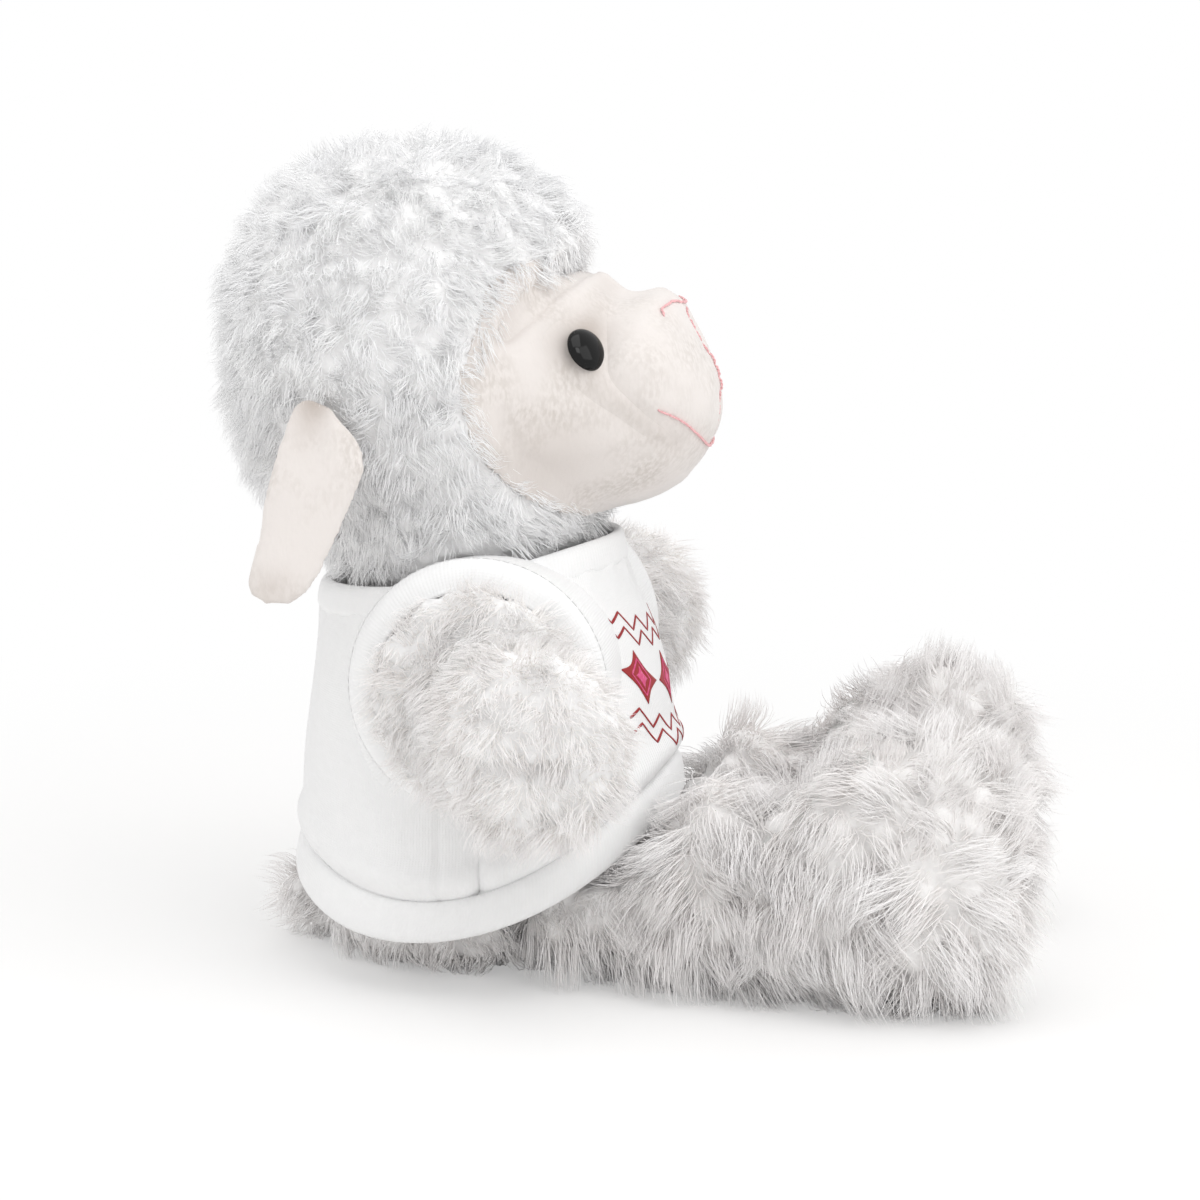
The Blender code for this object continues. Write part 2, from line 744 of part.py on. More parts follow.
def make_face(axis, eyes):
    """The short-pile face panel, open behind, with a hole for each eye's stem."""
    outer = face_rings(0.0)
    inner = face_rings(VELBOA_THICK)
    inner[0] = inner[0] * (1, 0, 1) + outer[0] * (0, 1, 0)
    shape = make_object(
        "face_cover",
        outer[::-1] + inner,
        [nose_tip(0.0), nose_tip(VELBOA_THICK)],
        cloth("face_velboa", (0.93, 0.89, 0.85), 0.9),
    )
    for eye in eyes:
        depth = 2 * VELBOA_THICK
        profile = [(-depth, STEM_RADIUS + GAP), (depth, STEM_RADIUS + GAP)]
        combine(shape, spun_on(eye, "stem_hole", profile))
    hang_on(shape, axis)


def make_head_filling(axis, eyes):
    """The filling of the head, with a pocket behind each eye for its stem and washer."""
    rings = [head_ring(row, WOOL_THICK + GAP) for row in WOOL_SHARES[:-1]]
    rings.append(head_ring(WOOL_SHARES[-1], WOOL_THICK + VELBOA_THICK))
    rings += [head_ring(row, VELBOA_THICK + GAP) for row in FACE_SHARES[1:]]
    back = head_pole(WOOL_POLE_SHARE, HEAD_BACK + WOOL_THICK + GAP)
    white = cloth("head_filling", (0.93, 0.93, 0.92), 1.0)
    tip = nose_tip(VELBOA_THICK + GAP)
    filling = make_object("head_filling", rings, [back, tip], white)
    radius = NECK_RADIUS - WOOL_THICK - GAP
    combine(filling, ball("filling_ball", NECK, radius, NECK_SIDES, NECK_ROWS), "UNION")
    for eye in eyes:
        top = VELBOA_THICK
        floor = -VELBOA_THICK - WASHER_SEAT - WASHER_THICK - GAP
        profile = [
            (-STEM_LENGTH - GAP, STEM_RADIUS + GAP),
            (floor, STEM_RADIUS + GAP),
            (floor, WASHER_RADIUS + GAP),
            (top, WASHER_RADIUS + GAP),
        ]
        combine(filling, spun_on(eye, "washer_pocket", profile))
    hang_on(filling, axis)


def make_neck_wad(axis):
    """The filling between the neck's ball and the torso, a cap that both turn against."""
    rings = []
    outer = NECK_RADIUS + 2 * GAP + NECK_WAD_THICK
    inner = clear_radius(NECK_RADIUS + GAP / 2, NECK_SIDES, NECK_ROWS)
    rows = range(1, NECK_WAD_ROWS + 1)
    for radius, order in ((outer, rows), (inner, reversed(rows))):
        for row in order:
            polar = math.pi * row / NECK_ROWS
            flat, drop = radius * math.sin(polar), -radius * math.cos(polar)
            rings.append(flat_ring(NECK, flat, drop, NECK_SIDES))
    poles = [np.add(NECK, (0, 0, -outer)), np.add(NECK, (0, 0, -inner))]
    wad = make_object("neck_filling", rings, poles, cloth("neck_filling", (0.93, 0.93, 0.92), 1.0))
    hang_on(wad, axis)


def face_row(share):
    """The face outline's sizes at a share of the way from its seam to the nose."""
    rows = np.array(FACE_SHARES)
    steps = np.linspace(0, 1, len(rows))
    along, wide, high, low, lean = (np.interp(share, steps, column) for column in rows.T)
    middle = HEAD_BASE + (high + low) / 2 * HEAD_HEIGHT
    return (
        HEAD_BACK + along * HEAD_LENGTH,
        wide * HEAD_WIDTH / 2,
        middle,
        (high - low) / 2 * HEAD_HEIGHT,
        lean * HEAD_LENGTH,
    )


def face_forward(side, up):
    """How far forward the face's surface lies at a side distance and a height."""
    low, high = 0.0, 1.0
    for _ in range(BISECTIONS):
        share = (low + high) / 2
        forward, wide, middle, tall, lean = face_row(share)
        if (side / wide) ** 2 + ((up - middle) / tall) ** 2 < 1:
            low = share
        else:
            high = share
    forward, wide, middle, tall, lean = face_row(low)
    spread = min(1.0, math.hypot(side / wide, (up - middle) / tall))
    edge = forward - lean * (side / wide) ** 2
    return edge + (1 - spread) * (nose_tip(0.0)[1] - edge)


def face_place(side_share, up_share):
    """A point on the face and the direction straight out of it."""
    side = side_share * HEAD_WIDTH / 2
    up = HEAD_BASE + up_share * HEAD_HEIGHT
    step = THREAD_RADIUS
    forward = face_forward(side, up)
    slope_side = (face_forward(side + step, up) - face_forward(side - step, up)) / (2 * step)
    slope_up = (face_forward(side, up + step) - face_forward(side, up - step)) / (2 * step)
    out = np.array((-slope_side, 1.0, -slope_up))
    return np.array((side, forward, up)), out / np.linalg.norm(out)


def spun_on(place, name, profile, material=None):
    """A body turned about a line out of the face, from (out, radius) pairs along it."""
    point, out = place
    across = np.cross(out, (0, 0, 1))
    across /= np.linalg.norm(across)
    upward = np.cross(across, out)
    turn = np.linspace(0, 2 * math.pi, EYE_SIDES, endpoint=False)
    circle = np.outer(np.cos(turn), across) + np.outer(np.sin(turn), upward)
    rings = [point + along * out + radius * circle for along, radius in profile]
    poles = [point + profile[0][0] * out, point + profile[-1][0] * out]
    return make_object(name, rings, poles, material)


def make_eye(name, place, axis):
    """A domed safety eye with its stem, and the lock washer behind the face."""
    seat = 2 * GAP
    profile = [(-STEM_LENGTH, STEM_RADIUS), (seat, STEM_RADIUS)]
    for share, wide in DOME_SHARES:
        profile.append((seat + share * EYE_DOME, wide * EYE_RADIUS))
    eye = spun_on(place, "eye_" + name, profile, cloth("eye_" + name, (0.01, 0.01, 0.01), 0.08))
    low = -VELBOA_THICK - WASHER_SEAT - WASHER_THICK
    bore = STEM_RADIUS + GAP
    ring = [
        (low, bore),
        (low, WASHER_RADIUS),
        (low + WASHER_THICK, WASHER_RADIUS),
        (low + WASHER_THICK, bore),
    ]
    washer = washer_ring("eye_washer_" + name, place, ring)
    for piece in (eye, washer):
        hang_on(piece, axis)


def washer_ring(name, place, corners):
    """A flat ring about the eye's stem."""
    point, out = place
    across = np.cross(out, (0, 0, 1))
    across /= np.linalg.norm(across)
    upward = np.cross(across, out)
    turn = np.linspace(0, 2 * math.pi, EYE_SIDES, endpoint=False)
    circle = np.outer(np.cos(turn), across) + np.outer(np.sin(turn), upward)
    rings = [point + along * out + radius * circle for along, radius in corners]
    plastic = cloth(name, (0.90, 0.90, 0.88), 0.4)
    return make_object(name, rings, [], plastic, joined=True)


def make_stitch(name, shares, axis):
    """A line of embroidery thread that lies on the muzzle."""
    points = []
    for side, up in shares:
        point, out = face_place(side, up)
        points.append(point + out * (THREAD_RADIUS + 2 * GAP))
    points = np.array(points)
    along = np.gradient(points, axis=0)
    turn = np.linspace(0, 2 * math.pi, THREAD_SIDES, endpoint=False)
    rings = []
    for (side, up), point, ahead in zip(shares, points, along):
        out = face_place(side, up)[1]
        across = np.cross(ahead, out)
        across /= np.linalg.norm(across)
        circle = np.outer(np.cos(turn), across) + np.outer(np.sin(turn), out)
        rings.append(point + THREAD_RADIUS * circle)
    pink = cloth(name, (0.93, 0.55, 0.58), 0.6)
    thread = make_object(name, rings, [points[0], points[-1]], pink)
    hang_on(thread, axis)


def wool_side(forward, up):
    """How far out the head's wool reaches at a place along it."""
    rows = np.array(WOOL_SHARES)
    share = (forward - HEAD_BACK) / HEAD_LENGTH
    wide, high, low = (np.interp(share, rows[:, 0], rows[:, k]) for k in (1, 2, 3))
    middle = HEAD_BASE + (high + low) / 2 * HEAD_HEIGHT
    tall = (high - low) / 2 * HEAD_HEIGHT
    return wide * HEAD_WIDTH / 2 * math.sqrt(max(0.0, 1 - ((up - middle) / tall) ** 2))


def ear_root():
    """The left ear's hinge point, just off the wool."""
    forward = HEAD_BACK + EAR_FORWARD_SHARE * HEAD_LENGTH
    up = HEAD_BASE + EAR_UP_SHARE * HEAD_HEIGHT
    root_thick = EAR_SHARES[0][2] * EAR_THICK / 2
    return wool_side(forward, up) + root_thick, forward, up


def make_ear(name, side, head_axis):
    """One ear's outer and inner panels, hung on its root."""
    root = np.array(ear_root()) * (side, 1, 1)
    axis = axis_empty("ear_axis_" + name, root)
    hang_on(axis, head_axis)
    down = np.array(EAR_SLOPE_SHARES) * (side, 1, 1)
    down /= np.linalg.norm(down)
    across = np.cross(down, (side, 0, 0))
    across /= np.linalg.norm(across)
    outward = np.cross(across, down)
    outward *= side * np.sign(outward[0])
    curve = np.linspace(0, math.pi, EAR_POINTS)
    for panel, facing in (("outer", 1), ("inner", -1)):
        rings = []
        for along, wide, thick in EAR_SHARES:
            centre = root + down * along * EAR_LENGTH
            half = wide * EAR_WIDTH / 2
            deep = thick * EAR_THICK / 2
            bulge = facing * (GAP / 2 + (deep - GAP / 2) * np.sin(curve))
            flat = np.full(EAR_POINTS - 2, facing * GAP / 2)
            spread = np.concatenate([np.cos(curve), np.cos(curve[-2:0:-1])]) * half
            lift = np.concatenate([bulge, flat])
            rings.append(centre + np.outer(spread, across) + np.outer(lift, outward))
        middle = facing * (GAP / 2 + EAR_THICK / 8)
        poles = [rings[0].mean(axis=0), root + down * EAR_LENGTH + outward * middle]
        title = "ear_" + name + "_" + panel
        ear = make_object(title, rings, poles, cloth(title, (0.93, 0.89, 0.85), 0.9))
        hang_on(ear, axis)


def tee_place(turn, up, offset):
    """A point of the tee's cloth at an angle round the body and a height, moved out by offset.

    The angle is 0 at the sheep's left and a quarter turn at its front.
    """
    rows = np.array(TEE_SHARES)
    torso = np.array(TORSO_SHARES)
    share = up / TORSO_HEIGHT
    forward, deep, flare = (np.interp(share, rows[:, 0], rows[:, k]) for k in (1, 2, 3))
    wide = np.interp(share, torso[:, 0], torso[:, 3]) * TORSO_WIDTH
    half_side = (wide + flare * (TEE_HEM_WIDTH - wide)) / 2 + TEE_EASE + offset
    half_deep = deep * TORSO_DEPTH / 2 + TEE_EASE + offset
    middle = TORSO_FORWARD + forward * TORSO_DEPTH
    return (half_side * math.cos(turn), middle + half_deep * math.sin(turn), up)


def hem_height(turn):
    """The height of the tee's lower edge round the body: high over the legs, low at the side."""
    level, rise, dip = (share * TORSO_HEIGHT for share in HEM_HEIGHT_SHARES)
    front = turn - math.pi / 2
    return level + rise * math.cos(front) + dip * math.cos(2 * front)


def neckline_height(turn, lower=0.0):
    """The height where the cloth meets the neck's ball, less a band's width."""
    low, high = TORSO_HEIGHT / 2, TORSO_HEIGHT
    radius = NECK_RADIUS + 3 * GAP
    for _ in range(BISECTIONS):
        up = (low + high) / 2
        reach = np.linalg.norm(np.subtract(tee_place(turn, up, 0.0), NECK))
        if reach > radius and up < NECK[2] - NECK_RADIUS * NECKLINE_SHARE:
            low = up
        else:
            high = up
    return low - lower


def cloth_sheet(name, turns, low_edge, high_edge, thick, material, closed=False):
    """A sheet of the tee between two edges, with its own thickness."""
    outer, inner = [], []
    for row in np.linspace(0, 1, TEE_ROWS):
        for grid, offset in ((outer, thick), (inner, 0.0)):
            line = []
            for turn in turns:
                low, high = low_edge(turn), high_edge(turn)
                line.append(tee_place(turn, low + row * (high - low), offset))
            grid.append(line)
    shape = bmesh.new()
    sheets = []
    for grid in (outer, inner):
        rows = [[shape.verts.new(tuple(to_world(p))) for p in line] for line in grid]
        sheets.append(rows)
    count = len(turns)
    spans = range(count) if closed else range(count - 1)
    for rows in sheets:
        for lower, upper in zip(rows, rows[1:]):
            for i in spans:
                j = (i + 1) % count
                shape.faces.new((lower[i], lower[j], upper[j], upper[i]))
    out, back = sheets
    for row in (0, -1):
        for i in spans:
            j = (i + 1) % count
            shape.faces.new((out[row][i], out[row][j], back[row][j], back[row][i]))
    if not closed:
        for i in (0, count - 1):
            for k in range(TEE_ROWS - 1):
                shape.faces.new((out[k][i], out[k + 1][i], back[k + 1][i], back[k][i]))
    return finish_mesh(name, shape, material)


def tee_solid(name, offset):
    """The tee and all inside it as one closed shape, for cutting the sleeves to it."""
    turns = np.linspace(0, 2 * math.pi, TEE_SIDES, endpoint=False)
    levels = [share * TORSO_HEIGHT for share, *_ in TEE_SHARES]
    offset += TEE_HEM_WIDTH / 2 * (1 - math.cos(math.pi / TEE_SIDES))
    rings = [np.array([tee_place(turn, up, offset) for turn in turns]) for up in levels]
    return make_object(name, rings, [rings[0].mean(axis=0), rings[-1].mean(axis=0)])


def arm_hole(side):
    """The round hole in the tee where a sleeve is sewn in."""
    radius = ARM_ROOT_RADIUS + 2 * GAP
    inner, outer = side * ARM_HOLE_START_SHARE * SHOULDER_OUT, side * TEE_HEM_WIDTH
    centre = (0, SHOULDER_FORWARD, SHOULDER_UP)
    rings = spun_rings(centre, [(inner, radius), (outer, radius)], TEE_SIDES)
    return make_object("arm_hole", rings, [(inner, *centre[1:]), (outer, *centre[1:])])


def make_tee():
    """The tee's front, back, sleeves, neckband and hem band."""
    jersey = (0.95, 0.95, 0.95)
    seam = math.asin(SIDE_SEAM_SHARE)
    slack = GAP / TORSO_WIDTH
    half = TEE_SIDES // 2 + 1
    fronts = np.linspace(seam + slack, math.pi - seam - slack, half)
    backs = np.linspace(math.pi - seam + slack, 2 * math.pi + seam - slack, half)
    panels = (("tee_front", fronts), ("tee_back", backs))
    for name, turns in panels:
        panel = cloth_sheet(
            name,
            turns,
            lambda turn: hem_height(turn) + HEM_BAND + 2 * GAP,
            lambda turn: neckline_height(turn, NECK_BAND + 2 * GAP),
            JERSEY_THICK,
            cloth(name, jersey, 0.85),
        )
        for _, side in SIDES:
            combine(panel, arm_hole(side))
    turns = np.linspace(0, 2 * math.pi, TEE_SIDES, endpoint=False)
    cloth_sheet(
        "tee_hem_band",
        turns,
        hem_height,
        lambda turn: hem_height(turn) + HEM_BAND,
        BAND_THICK,
        cloth("tee_hem_band", jersey, 0.85),
        closed=True,
    )
    cloth_sheet(
        "tee_neckband",
        turns,
        lambda turn: neckline_height(turn, NECK_BAND),
        neckline_height,
        BAND_THICK,
        cloth("tee_neckband", jersey, 0.85),
        closed=True,
    )
    for name, side in SIDES:
        make_sleeve(name, side, jersey)


def make_sleeve(name, side, colour):
    """A short sleeve with its band, turned about the shoulder's axis."""
    inner = ARM_ROOT_RADIUS + 2 * GAP
    start = side * ARM_HOLE_START_SHARE * SHOULDER_OUT
    end = SHOULDER_OUT + SLEEVE_LENGTH
    fold = side * (end - SLEEVE_BAND)
    profile = [
        (start, inner),
        (side * end, inner),
        (side * end, inner + BAND_THICK),
        (fold, inner + BAND_THICK),
        (fold, inner + JERSEY_THICK),
        (start, inner + JERSEY_THICK),
    ]
    centre = (0, SHOULDER_FORWARD, SHOULDER_UP)
    title = "tee_sleeve_" + name
    rings = spun_rings(centre, profile, TEE_SIDES)
    sleeve = make_object(title, rings, [], cloth(title, colour, 0.85), joined=True)
    combine(sleeve, tee_solid("tee_space", BAND_THICK + GAP))


def main():
    """Builds the sheep piece by piece, from the torso out."""
    clear_scene()
    make_torso()
    make_tail()
    make_tee()
    for (name, side), swing in zip(SIDES, (ARM_LEFT_SWING, ARM_RIGHT_SWING)):
        make_arm(name, side, swing)
        make_leg(name, side)
    turn_axis = axis_empty("head_turn_axis", NECK)
    nod_axis = axis_empty("head_nod_axis", NECK)
    hang_on(nod_axis, turn_axis)
    eyes = [face_place(side * EYE_OUT_SHARE, EYE_UP_SHARE) for _, side in SIDES]
    make_neck_wad(turn_axis)
    make_head_wool(nod_axis)
    make_face(nod_axis, eyes)
    make_head_filling(nod_axis, eyes)
    for (name, side), place in zip(SIDES, eyes):
        make_eye(name, place, nod_axis)
        make_ear(name, side, nod_axis)
    make_stitch("nose_stitching", NOSE_STITCH_SHARES, nod_axis)
    make_stitch("lip_stitching", LIP_STITCH_SHARES, nod_axis)
    make_stitch("mouth_stitching", MOUTH_STITCH_SHARES, nod_axis)


main()
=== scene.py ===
import json
import math

import bmesh
import bpy
import numpy as np
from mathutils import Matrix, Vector
from mathutils.bvhtree import BVHTree
from mathutils.kdtree import KDTree


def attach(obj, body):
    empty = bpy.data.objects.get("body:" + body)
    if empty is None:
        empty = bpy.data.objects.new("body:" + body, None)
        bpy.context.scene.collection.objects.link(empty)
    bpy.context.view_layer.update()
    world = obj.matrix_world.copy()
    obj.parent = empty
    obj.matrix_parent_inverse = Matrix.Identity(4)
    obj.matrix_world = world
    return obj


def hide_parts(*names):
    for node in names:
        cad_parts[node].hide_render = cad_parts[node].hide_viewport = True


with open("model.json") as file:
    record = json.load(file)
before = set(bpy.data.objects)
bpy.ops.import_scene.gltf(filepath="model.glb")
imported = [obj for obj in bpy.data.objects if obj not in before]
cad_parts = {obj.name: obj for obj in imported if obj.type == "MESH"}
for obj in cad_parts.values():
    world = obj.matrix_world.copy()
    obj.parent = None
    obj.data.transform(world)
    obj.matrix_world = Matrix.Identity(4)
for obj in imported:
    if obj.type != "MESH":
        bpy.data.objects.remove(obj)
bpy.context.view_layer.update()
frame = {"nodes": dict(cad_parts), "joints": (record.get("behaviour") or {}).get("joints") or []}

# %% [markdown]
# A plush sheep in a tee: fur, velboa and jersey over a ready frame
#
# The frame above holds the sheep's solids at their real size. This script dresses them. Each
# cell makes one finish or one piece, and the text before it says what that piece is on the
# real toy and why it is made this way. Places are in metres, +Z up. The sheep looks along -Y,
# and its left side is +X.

MM = 0.001

# %% [markdown]
# The camera looks at the sheep's right side, a little from the front and from just above
# table height. A long lens keeps the legs from looking too large. Its place is worked out
# from an angle round the toy, an angle above the table and a distance, which are easier to
# judge against a photograph than a bare position.

# %% Camera
CAMERA_TURN = -82.0
CAMERA_RISE = 9.5
CAMERA_DISTANCE = 0.810
CAMERA_LENS = 100.0
CAMERA_AIM = Vector((0.0, 0.00795, 0.0870))


def away(turn, rise):
    """The direction from the toy to a place at an angle round it and an angle above it."""
    a, e = math.radians(turn), math.radians(rise)
    return Vector((math.sin(a) * math.cos(e), -math.cos(a) * math.cos(e), math.sin(e)))


camera = bpy.data.objects.new("camera", bpy.data.cameras.new("camera"))
bpy.context.scene.collection.objects.link(camera)
camera.data.lens = CAMERA_LENS
camera.data.clip_start = 0.01
camera.location = CAMERA_AIM + away(CAMERA_TURN, CAMERA_RISE) * CAMERA_DISTANCE
camera.rotation_euler = (CAMERA_AIM - camera.location).to_track_quat("-Z", "Y").to_euler()
bpy.context.scene.camera = camera
bpy.context.scene.view_settings.view_transform = "Standard"
print("camera at", [round(v, 3) for v in camera.location])

# %% [markdown]
# Materials here are written as a maker would order them: a colour as an sRGB hex value, and
# patterns in millimetres. One function turns hex to the linear numbers that a shader wants,
# and one adds a node with its settings and its links.

# %% Colour and node helpers


def colour(code):
    """An sRGB hex value as linear red, green, blue and alpha."""
    parts = [int(code[i:i + 2], 16) / 255 for i in (1, 3, 5)]
    linear = [p / 12.92 if p <= 0.04045 else ((p + 0.055) / 1.055) ** 2.4 for p in parts]
    return (*linear, 1.0)


def add(tree, kind, links=None, **settings):
    """One node: plain settings go on the node, number or colour inputs by their names."""
    node = tree.nodes.new(kind)
    for name, value in settings.items():
        if hasattr(node, name):
            setattr(node, name, value)
        else:
            node.inputs[name.replace("_", " ").title()].default_value = value
    for name, source in (links or {}).items():
        tree.links.new(source, node.inputs[name])
    return node


def finish_of(name, base, rough, sheen=0.0, sheen_rough=0.5):
    """A new material with a plain Principled shader, and its tree and shader to build on."""
    material = bpy.data.materials.new(name)
    material.use_nodes = True
    tree = material.node_tree
    shader = tree.nodes["Principled BSDF"]
    shader.inputs["Base Color"].default_value = colour(base)
    shader.inputs["Roughness"].default_value = rough
    shader.inputs["Sheen Weight"].default_value = sheen
    shader.inputs["Sheen Roughness"].default_value = sheen_rough
    return material, tree, shader


def per_metre(size_mm):
    """How many repeats of a pattern fit in a metre when one is this many millimetres."""
    return 1.0 / (size_mm * MM)


# %% [markdown]
# Studio: a pale sweep of paper under soft boxes. The paper is nearly white and fades to the
# white of the background away from the toy, but it still takes the toy's shadow. Seen by the
# camera or in a reflection, the world is plain white. For lighting it is dimmer, so that the
# white cloth keeps its folds.

# %% Floor, world and lamps
FLOOR_REACH = 3.0
FLOOR_FADE = (0.10, 0.45)
WORLD_LIGHT = 0.76


def seen_directly(tree):
    """1 where a ray comes from the camera, a reflection or clear plastic, else 0."""
    path = add(tree, "ShaderNodeLightPath")
    shiny = add(tree, "ShaderNodeMath", {0: path.outputs["Is Camera Ray"],
                                         1: path.outputs["Is Glossy Ray"]}, operation="MAXIMUM")
    clear = add(tree, "ShaderNodeMath", {0: shiny.outputs[0],
                                         1: path.outputs["Is Transmission Ray"]},
                operation="MAXIMUM")
    return clear.outputs[0]


def make_floor():
    """The paper floor, a stage and no part of the toy."""
    mesh = bpy.data.meshes.new("paper_floor")
    r = FLOOR_REACH
    mesh.from_pydata([(-r, -r, 0), (r, -r, 0), (r, r, 0), (-r, r, 0)], [], [(0, 1, 2, 3)])
    floor = bpy.data.objects.new("paper_floor", mesh)
    bpy.context.scene.collection.objects.link(floor)
    material, tree, shader = finish_of("white_paper", "#fbfaf9", 0.9)
    place = add(tree, "ShaderNodeNewGeometry")
    length = add(tree, "ShaderNodeVectorMath", {0: place.outputs["Position"]},
                 operation="LENGTH")
    fade = add(tree, "ShaderNodeMapRange", {0: length.outputs["Value"]},
               interpolation_type="SMOOTHSTEP")
    for slot, value in zip((1, 2, 3, 4), (*FLOOR_FADE, 0.35, 1.0)):
        fade.inputs[slot].default_value = value
    share = add(tree, "ShaderNodeMath", {0: fade.outputs[0], 1: seen_directly(tree)},
                operation="MULTIPLY")
    glow = add(tree, "ShaderNodeEmission")
    glow.inputs["Color"].default_value = (1, 1, 1, 1)
    mix = add(tree, "ShaderNodeMixShader", {0: share.outputs[0], 1: shader.outputs[0],
                                            2: glow.outputs[0]})
    tree.links.new(mix.outputs[0], tree.nodes["Material Output"].inputs["Surface"])
    mesh.materials.append(material)


def make_world():
    """White to the camera and to reflections, dimmer as light."""
    world = bpy.data.worlds.new("studio")
    bpy.context.scene.world = world
    world.use_nodes = True
    tree = world.node_tree
    level = add(tree, "ShaderNodeMapRange", {0: seen_directly(tree)})
    level.inputs[3].default_value = WORLD_LIGHT
    level.inputs[4].default_value = 1.0
    ground = tree.nodes["Background"]
    ground.inputs["Color"].default_value = (1, 1, 1, 1)
    tree.links.new(level.outputs[0], ground.inputs["Strength"])


def soft_box(name, turn, rise, distance, size, watts):
    """A square lamp that faces the toy."""
    lamp = bpy.data.objects.new(name, bpy.data.lights.new(name, "AREA"))
    bpy.context.scene.collection.objects.link(lamp)
    lamp.data.size = size
    lamp.data.energy = watts
    lamp.location = CAMERA_AIM + away(turn, rise) * distance
    lamp.rotation_euler = (CAMERA_AIM - lamp.location).to_track_quat("-Z", "Y").to_euler()


make_floor()
make_world()
soft_box("top_box", -60, 72, 0.9, 0.7, 2.3)
soft_box("front_box", -25, 30, 1.0, 0.6, 1.2)
soft_box("back_box", -165, 35, 1.0, 0.5, 0.9)
soft_box("window_box", -56, 40, 0.9, 0.26, 0.6)

# %% [markdown]
# Soft bodies. A stuffed toy is cut from flat cloth and blown up by its filling, so it has no
# flat facets and no hard corners. The frame's solids are faceted, so each furry part starts
# as a melt of the cover and the filling inside it: a voxel remesh makes them one body, and
# smoothing that pulls in and pushes out by turns takes off the facets without shrinking it.
# The skin is then drawn in by most of the pile's height, because the hair stands on it.

# %% Melt, relax and measure


def neighbours_mean(points, edges):
    """The mean place of each point's neighbours."""
    count = np.bincount(edges.ravel(), minlength=len(points)).clip(1)[:, None]
    total = np.zeros_like(points)
    for axis in range(3):
        for near, far in ((0, 1), (1, 0)):
            total[:, axis] += np.bincount(edges[:, near], points[edges[:, far], axis],
                                          len(points))
    return total / count


def points_of(mesh):
    """A mesh's places as an array."""
    flat = np.empty(len(mesh.vertices) * 3)
    mesh.vertices.foreach_get("co", flat)
    return flat.reshape(-1, 3)


def normals_of(mesh):
    """A mesh's directions out of its surface, one for each place."""
    flat = np.empty(len(mesh.vertices) * 3)
    mesh.vertices.foreach_get("normal", flat)
    return flat.reshape(-1, 3)


def edges_of(mesh):
    """A mesh's edges as pairs of place numbers."""
    flat = np.empty(len(mesh.edges) * 2, int)
    mesh.edges.foreach_get("vertices", flat)
    return flat.reshape(-1, 2)


def place_points(mesh, points):
    """Moves a mesh's places."""
    mesh.vertices.foreach_set("co", np.ascontiguousarray(points).ravel())
    mesh.update()


def relax(mesh, rounds, pull=0.5, push=0.52):
    """Smooths by turns in and out, which keeps the body's size."""
    edges, points = edges_of(mesh), points_of(mesh)
    for _ in range(rounds):
        points = points + pull * (neighbours_mean(points, edges) - points)
        points = points - push * (neighbours_mean(points, edges) - points)
    place_points(mesh, points)


def welded(*names):
    """The frame's solids of these names in one bmesh, with their corners shared."""
    shape = bmesh.new()
    for name in names:
        shape.from_mesh(frame["nodes"][name].data)
    bmesh.ops.remove_doubles(shape, verts=shape.verts, dist=0.001 * MM)
    return shape


def finished(name, shape):
    """A bmesh as a mesh."""
    mesh = bpy.data.meshes.new(name)
    shape.to_mesh(mesh)
    shape.free()
    return mesh


def melted(name, nodes, voxel, rounds, draw_in=0.0):
    """These nodes as one smooth body, drawn in along its own directions."""
    holder = bpy.data.objects.new(name + "_source", finished(name + "_source", welded(*nodes)))
    bpy.context.scene.collection.objects.link(holder)
    step = holder.modifiers.new("melt", "REMESH")
    step.mode = "VOXEL"
    step.voxel_size = voxel
    mesh = bpy.data.meshes.new_from_object(
        holder.evaluated_get(bpy.context.evaluated_depsgraph_get()))
    mesh.name = name
    mesh.materials.clear()
    bpy.data.objects.remove(holder)
    relax(mesh, rounds)
    if draw_in:
        place_points(mesh, points_of(mesh) - draw_in * normals_of(mesh))
        relax(mesh, 2)
    return mesh


def tree_of(*names):
    """A search tree over these nodes' surfaces, for rays and nearest places."""
    shape = welded(*names)
    tree = BVHTree.FromBMesh(shape)
    shape.free()
    return tree


def mesh_tree(mesh):
    """A search tree over a mesh as it is now."""
    shape = bmesh.new()
    shape.from_mesh(mesh)
    tree = BVHTree.FromBMesh(shape)
    shape.free()
    return tree


def centre_of(name):
    """The middle of a node's places."""
    return points_of(frame["nodes"][name].data).mean(axis=0)


def show(name, mesh, material, body, slot, *nodes, smooth=True):
    """A finished piece, riding on its body and standing for the nodes it replaces."""
    piece = bpy.data.objects.new(name, mesh)
    bpy.context.scene.collection.objects.link(piece)
    mesh.materials.append(material)
    if smooth:
        mesh.shade_smooth()
    else:
        mesh.shade_flat()
    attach(piece, body)
    if nodes:
        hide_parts(*nodes)
    return piece


def unit(vectors):
    """Vectors brought to length one."""
    return vectors / np.linalg.norm(vectors, axis=-1, keepdims=True).clip(1e-9)


def bell(distance, width):
    """1 at no distance, and soft down to 0 at about twice the width."""
    return np.exp(-(distance / width) ** 2)


def ramp(value, start, span):
    """0 up to a start, 1 from one span further on, and straight between."""
    return np.clip((value - start) / span, 0, 1)


def eased(share):
    """A share from 0 to 1 that starts and ends softly."""
    return share ** 2 * (3 - 2 * share)


def length_along(path):
    """How far along a path each of its points lies."""
    return np.concatenate([[0], np.cumsum(np.linalg.norm(np.diff(path, axis=0), axis=1))])


DRAW = np.random.default_rng(7)
SIDES = (("left", 1), ("right", -1))

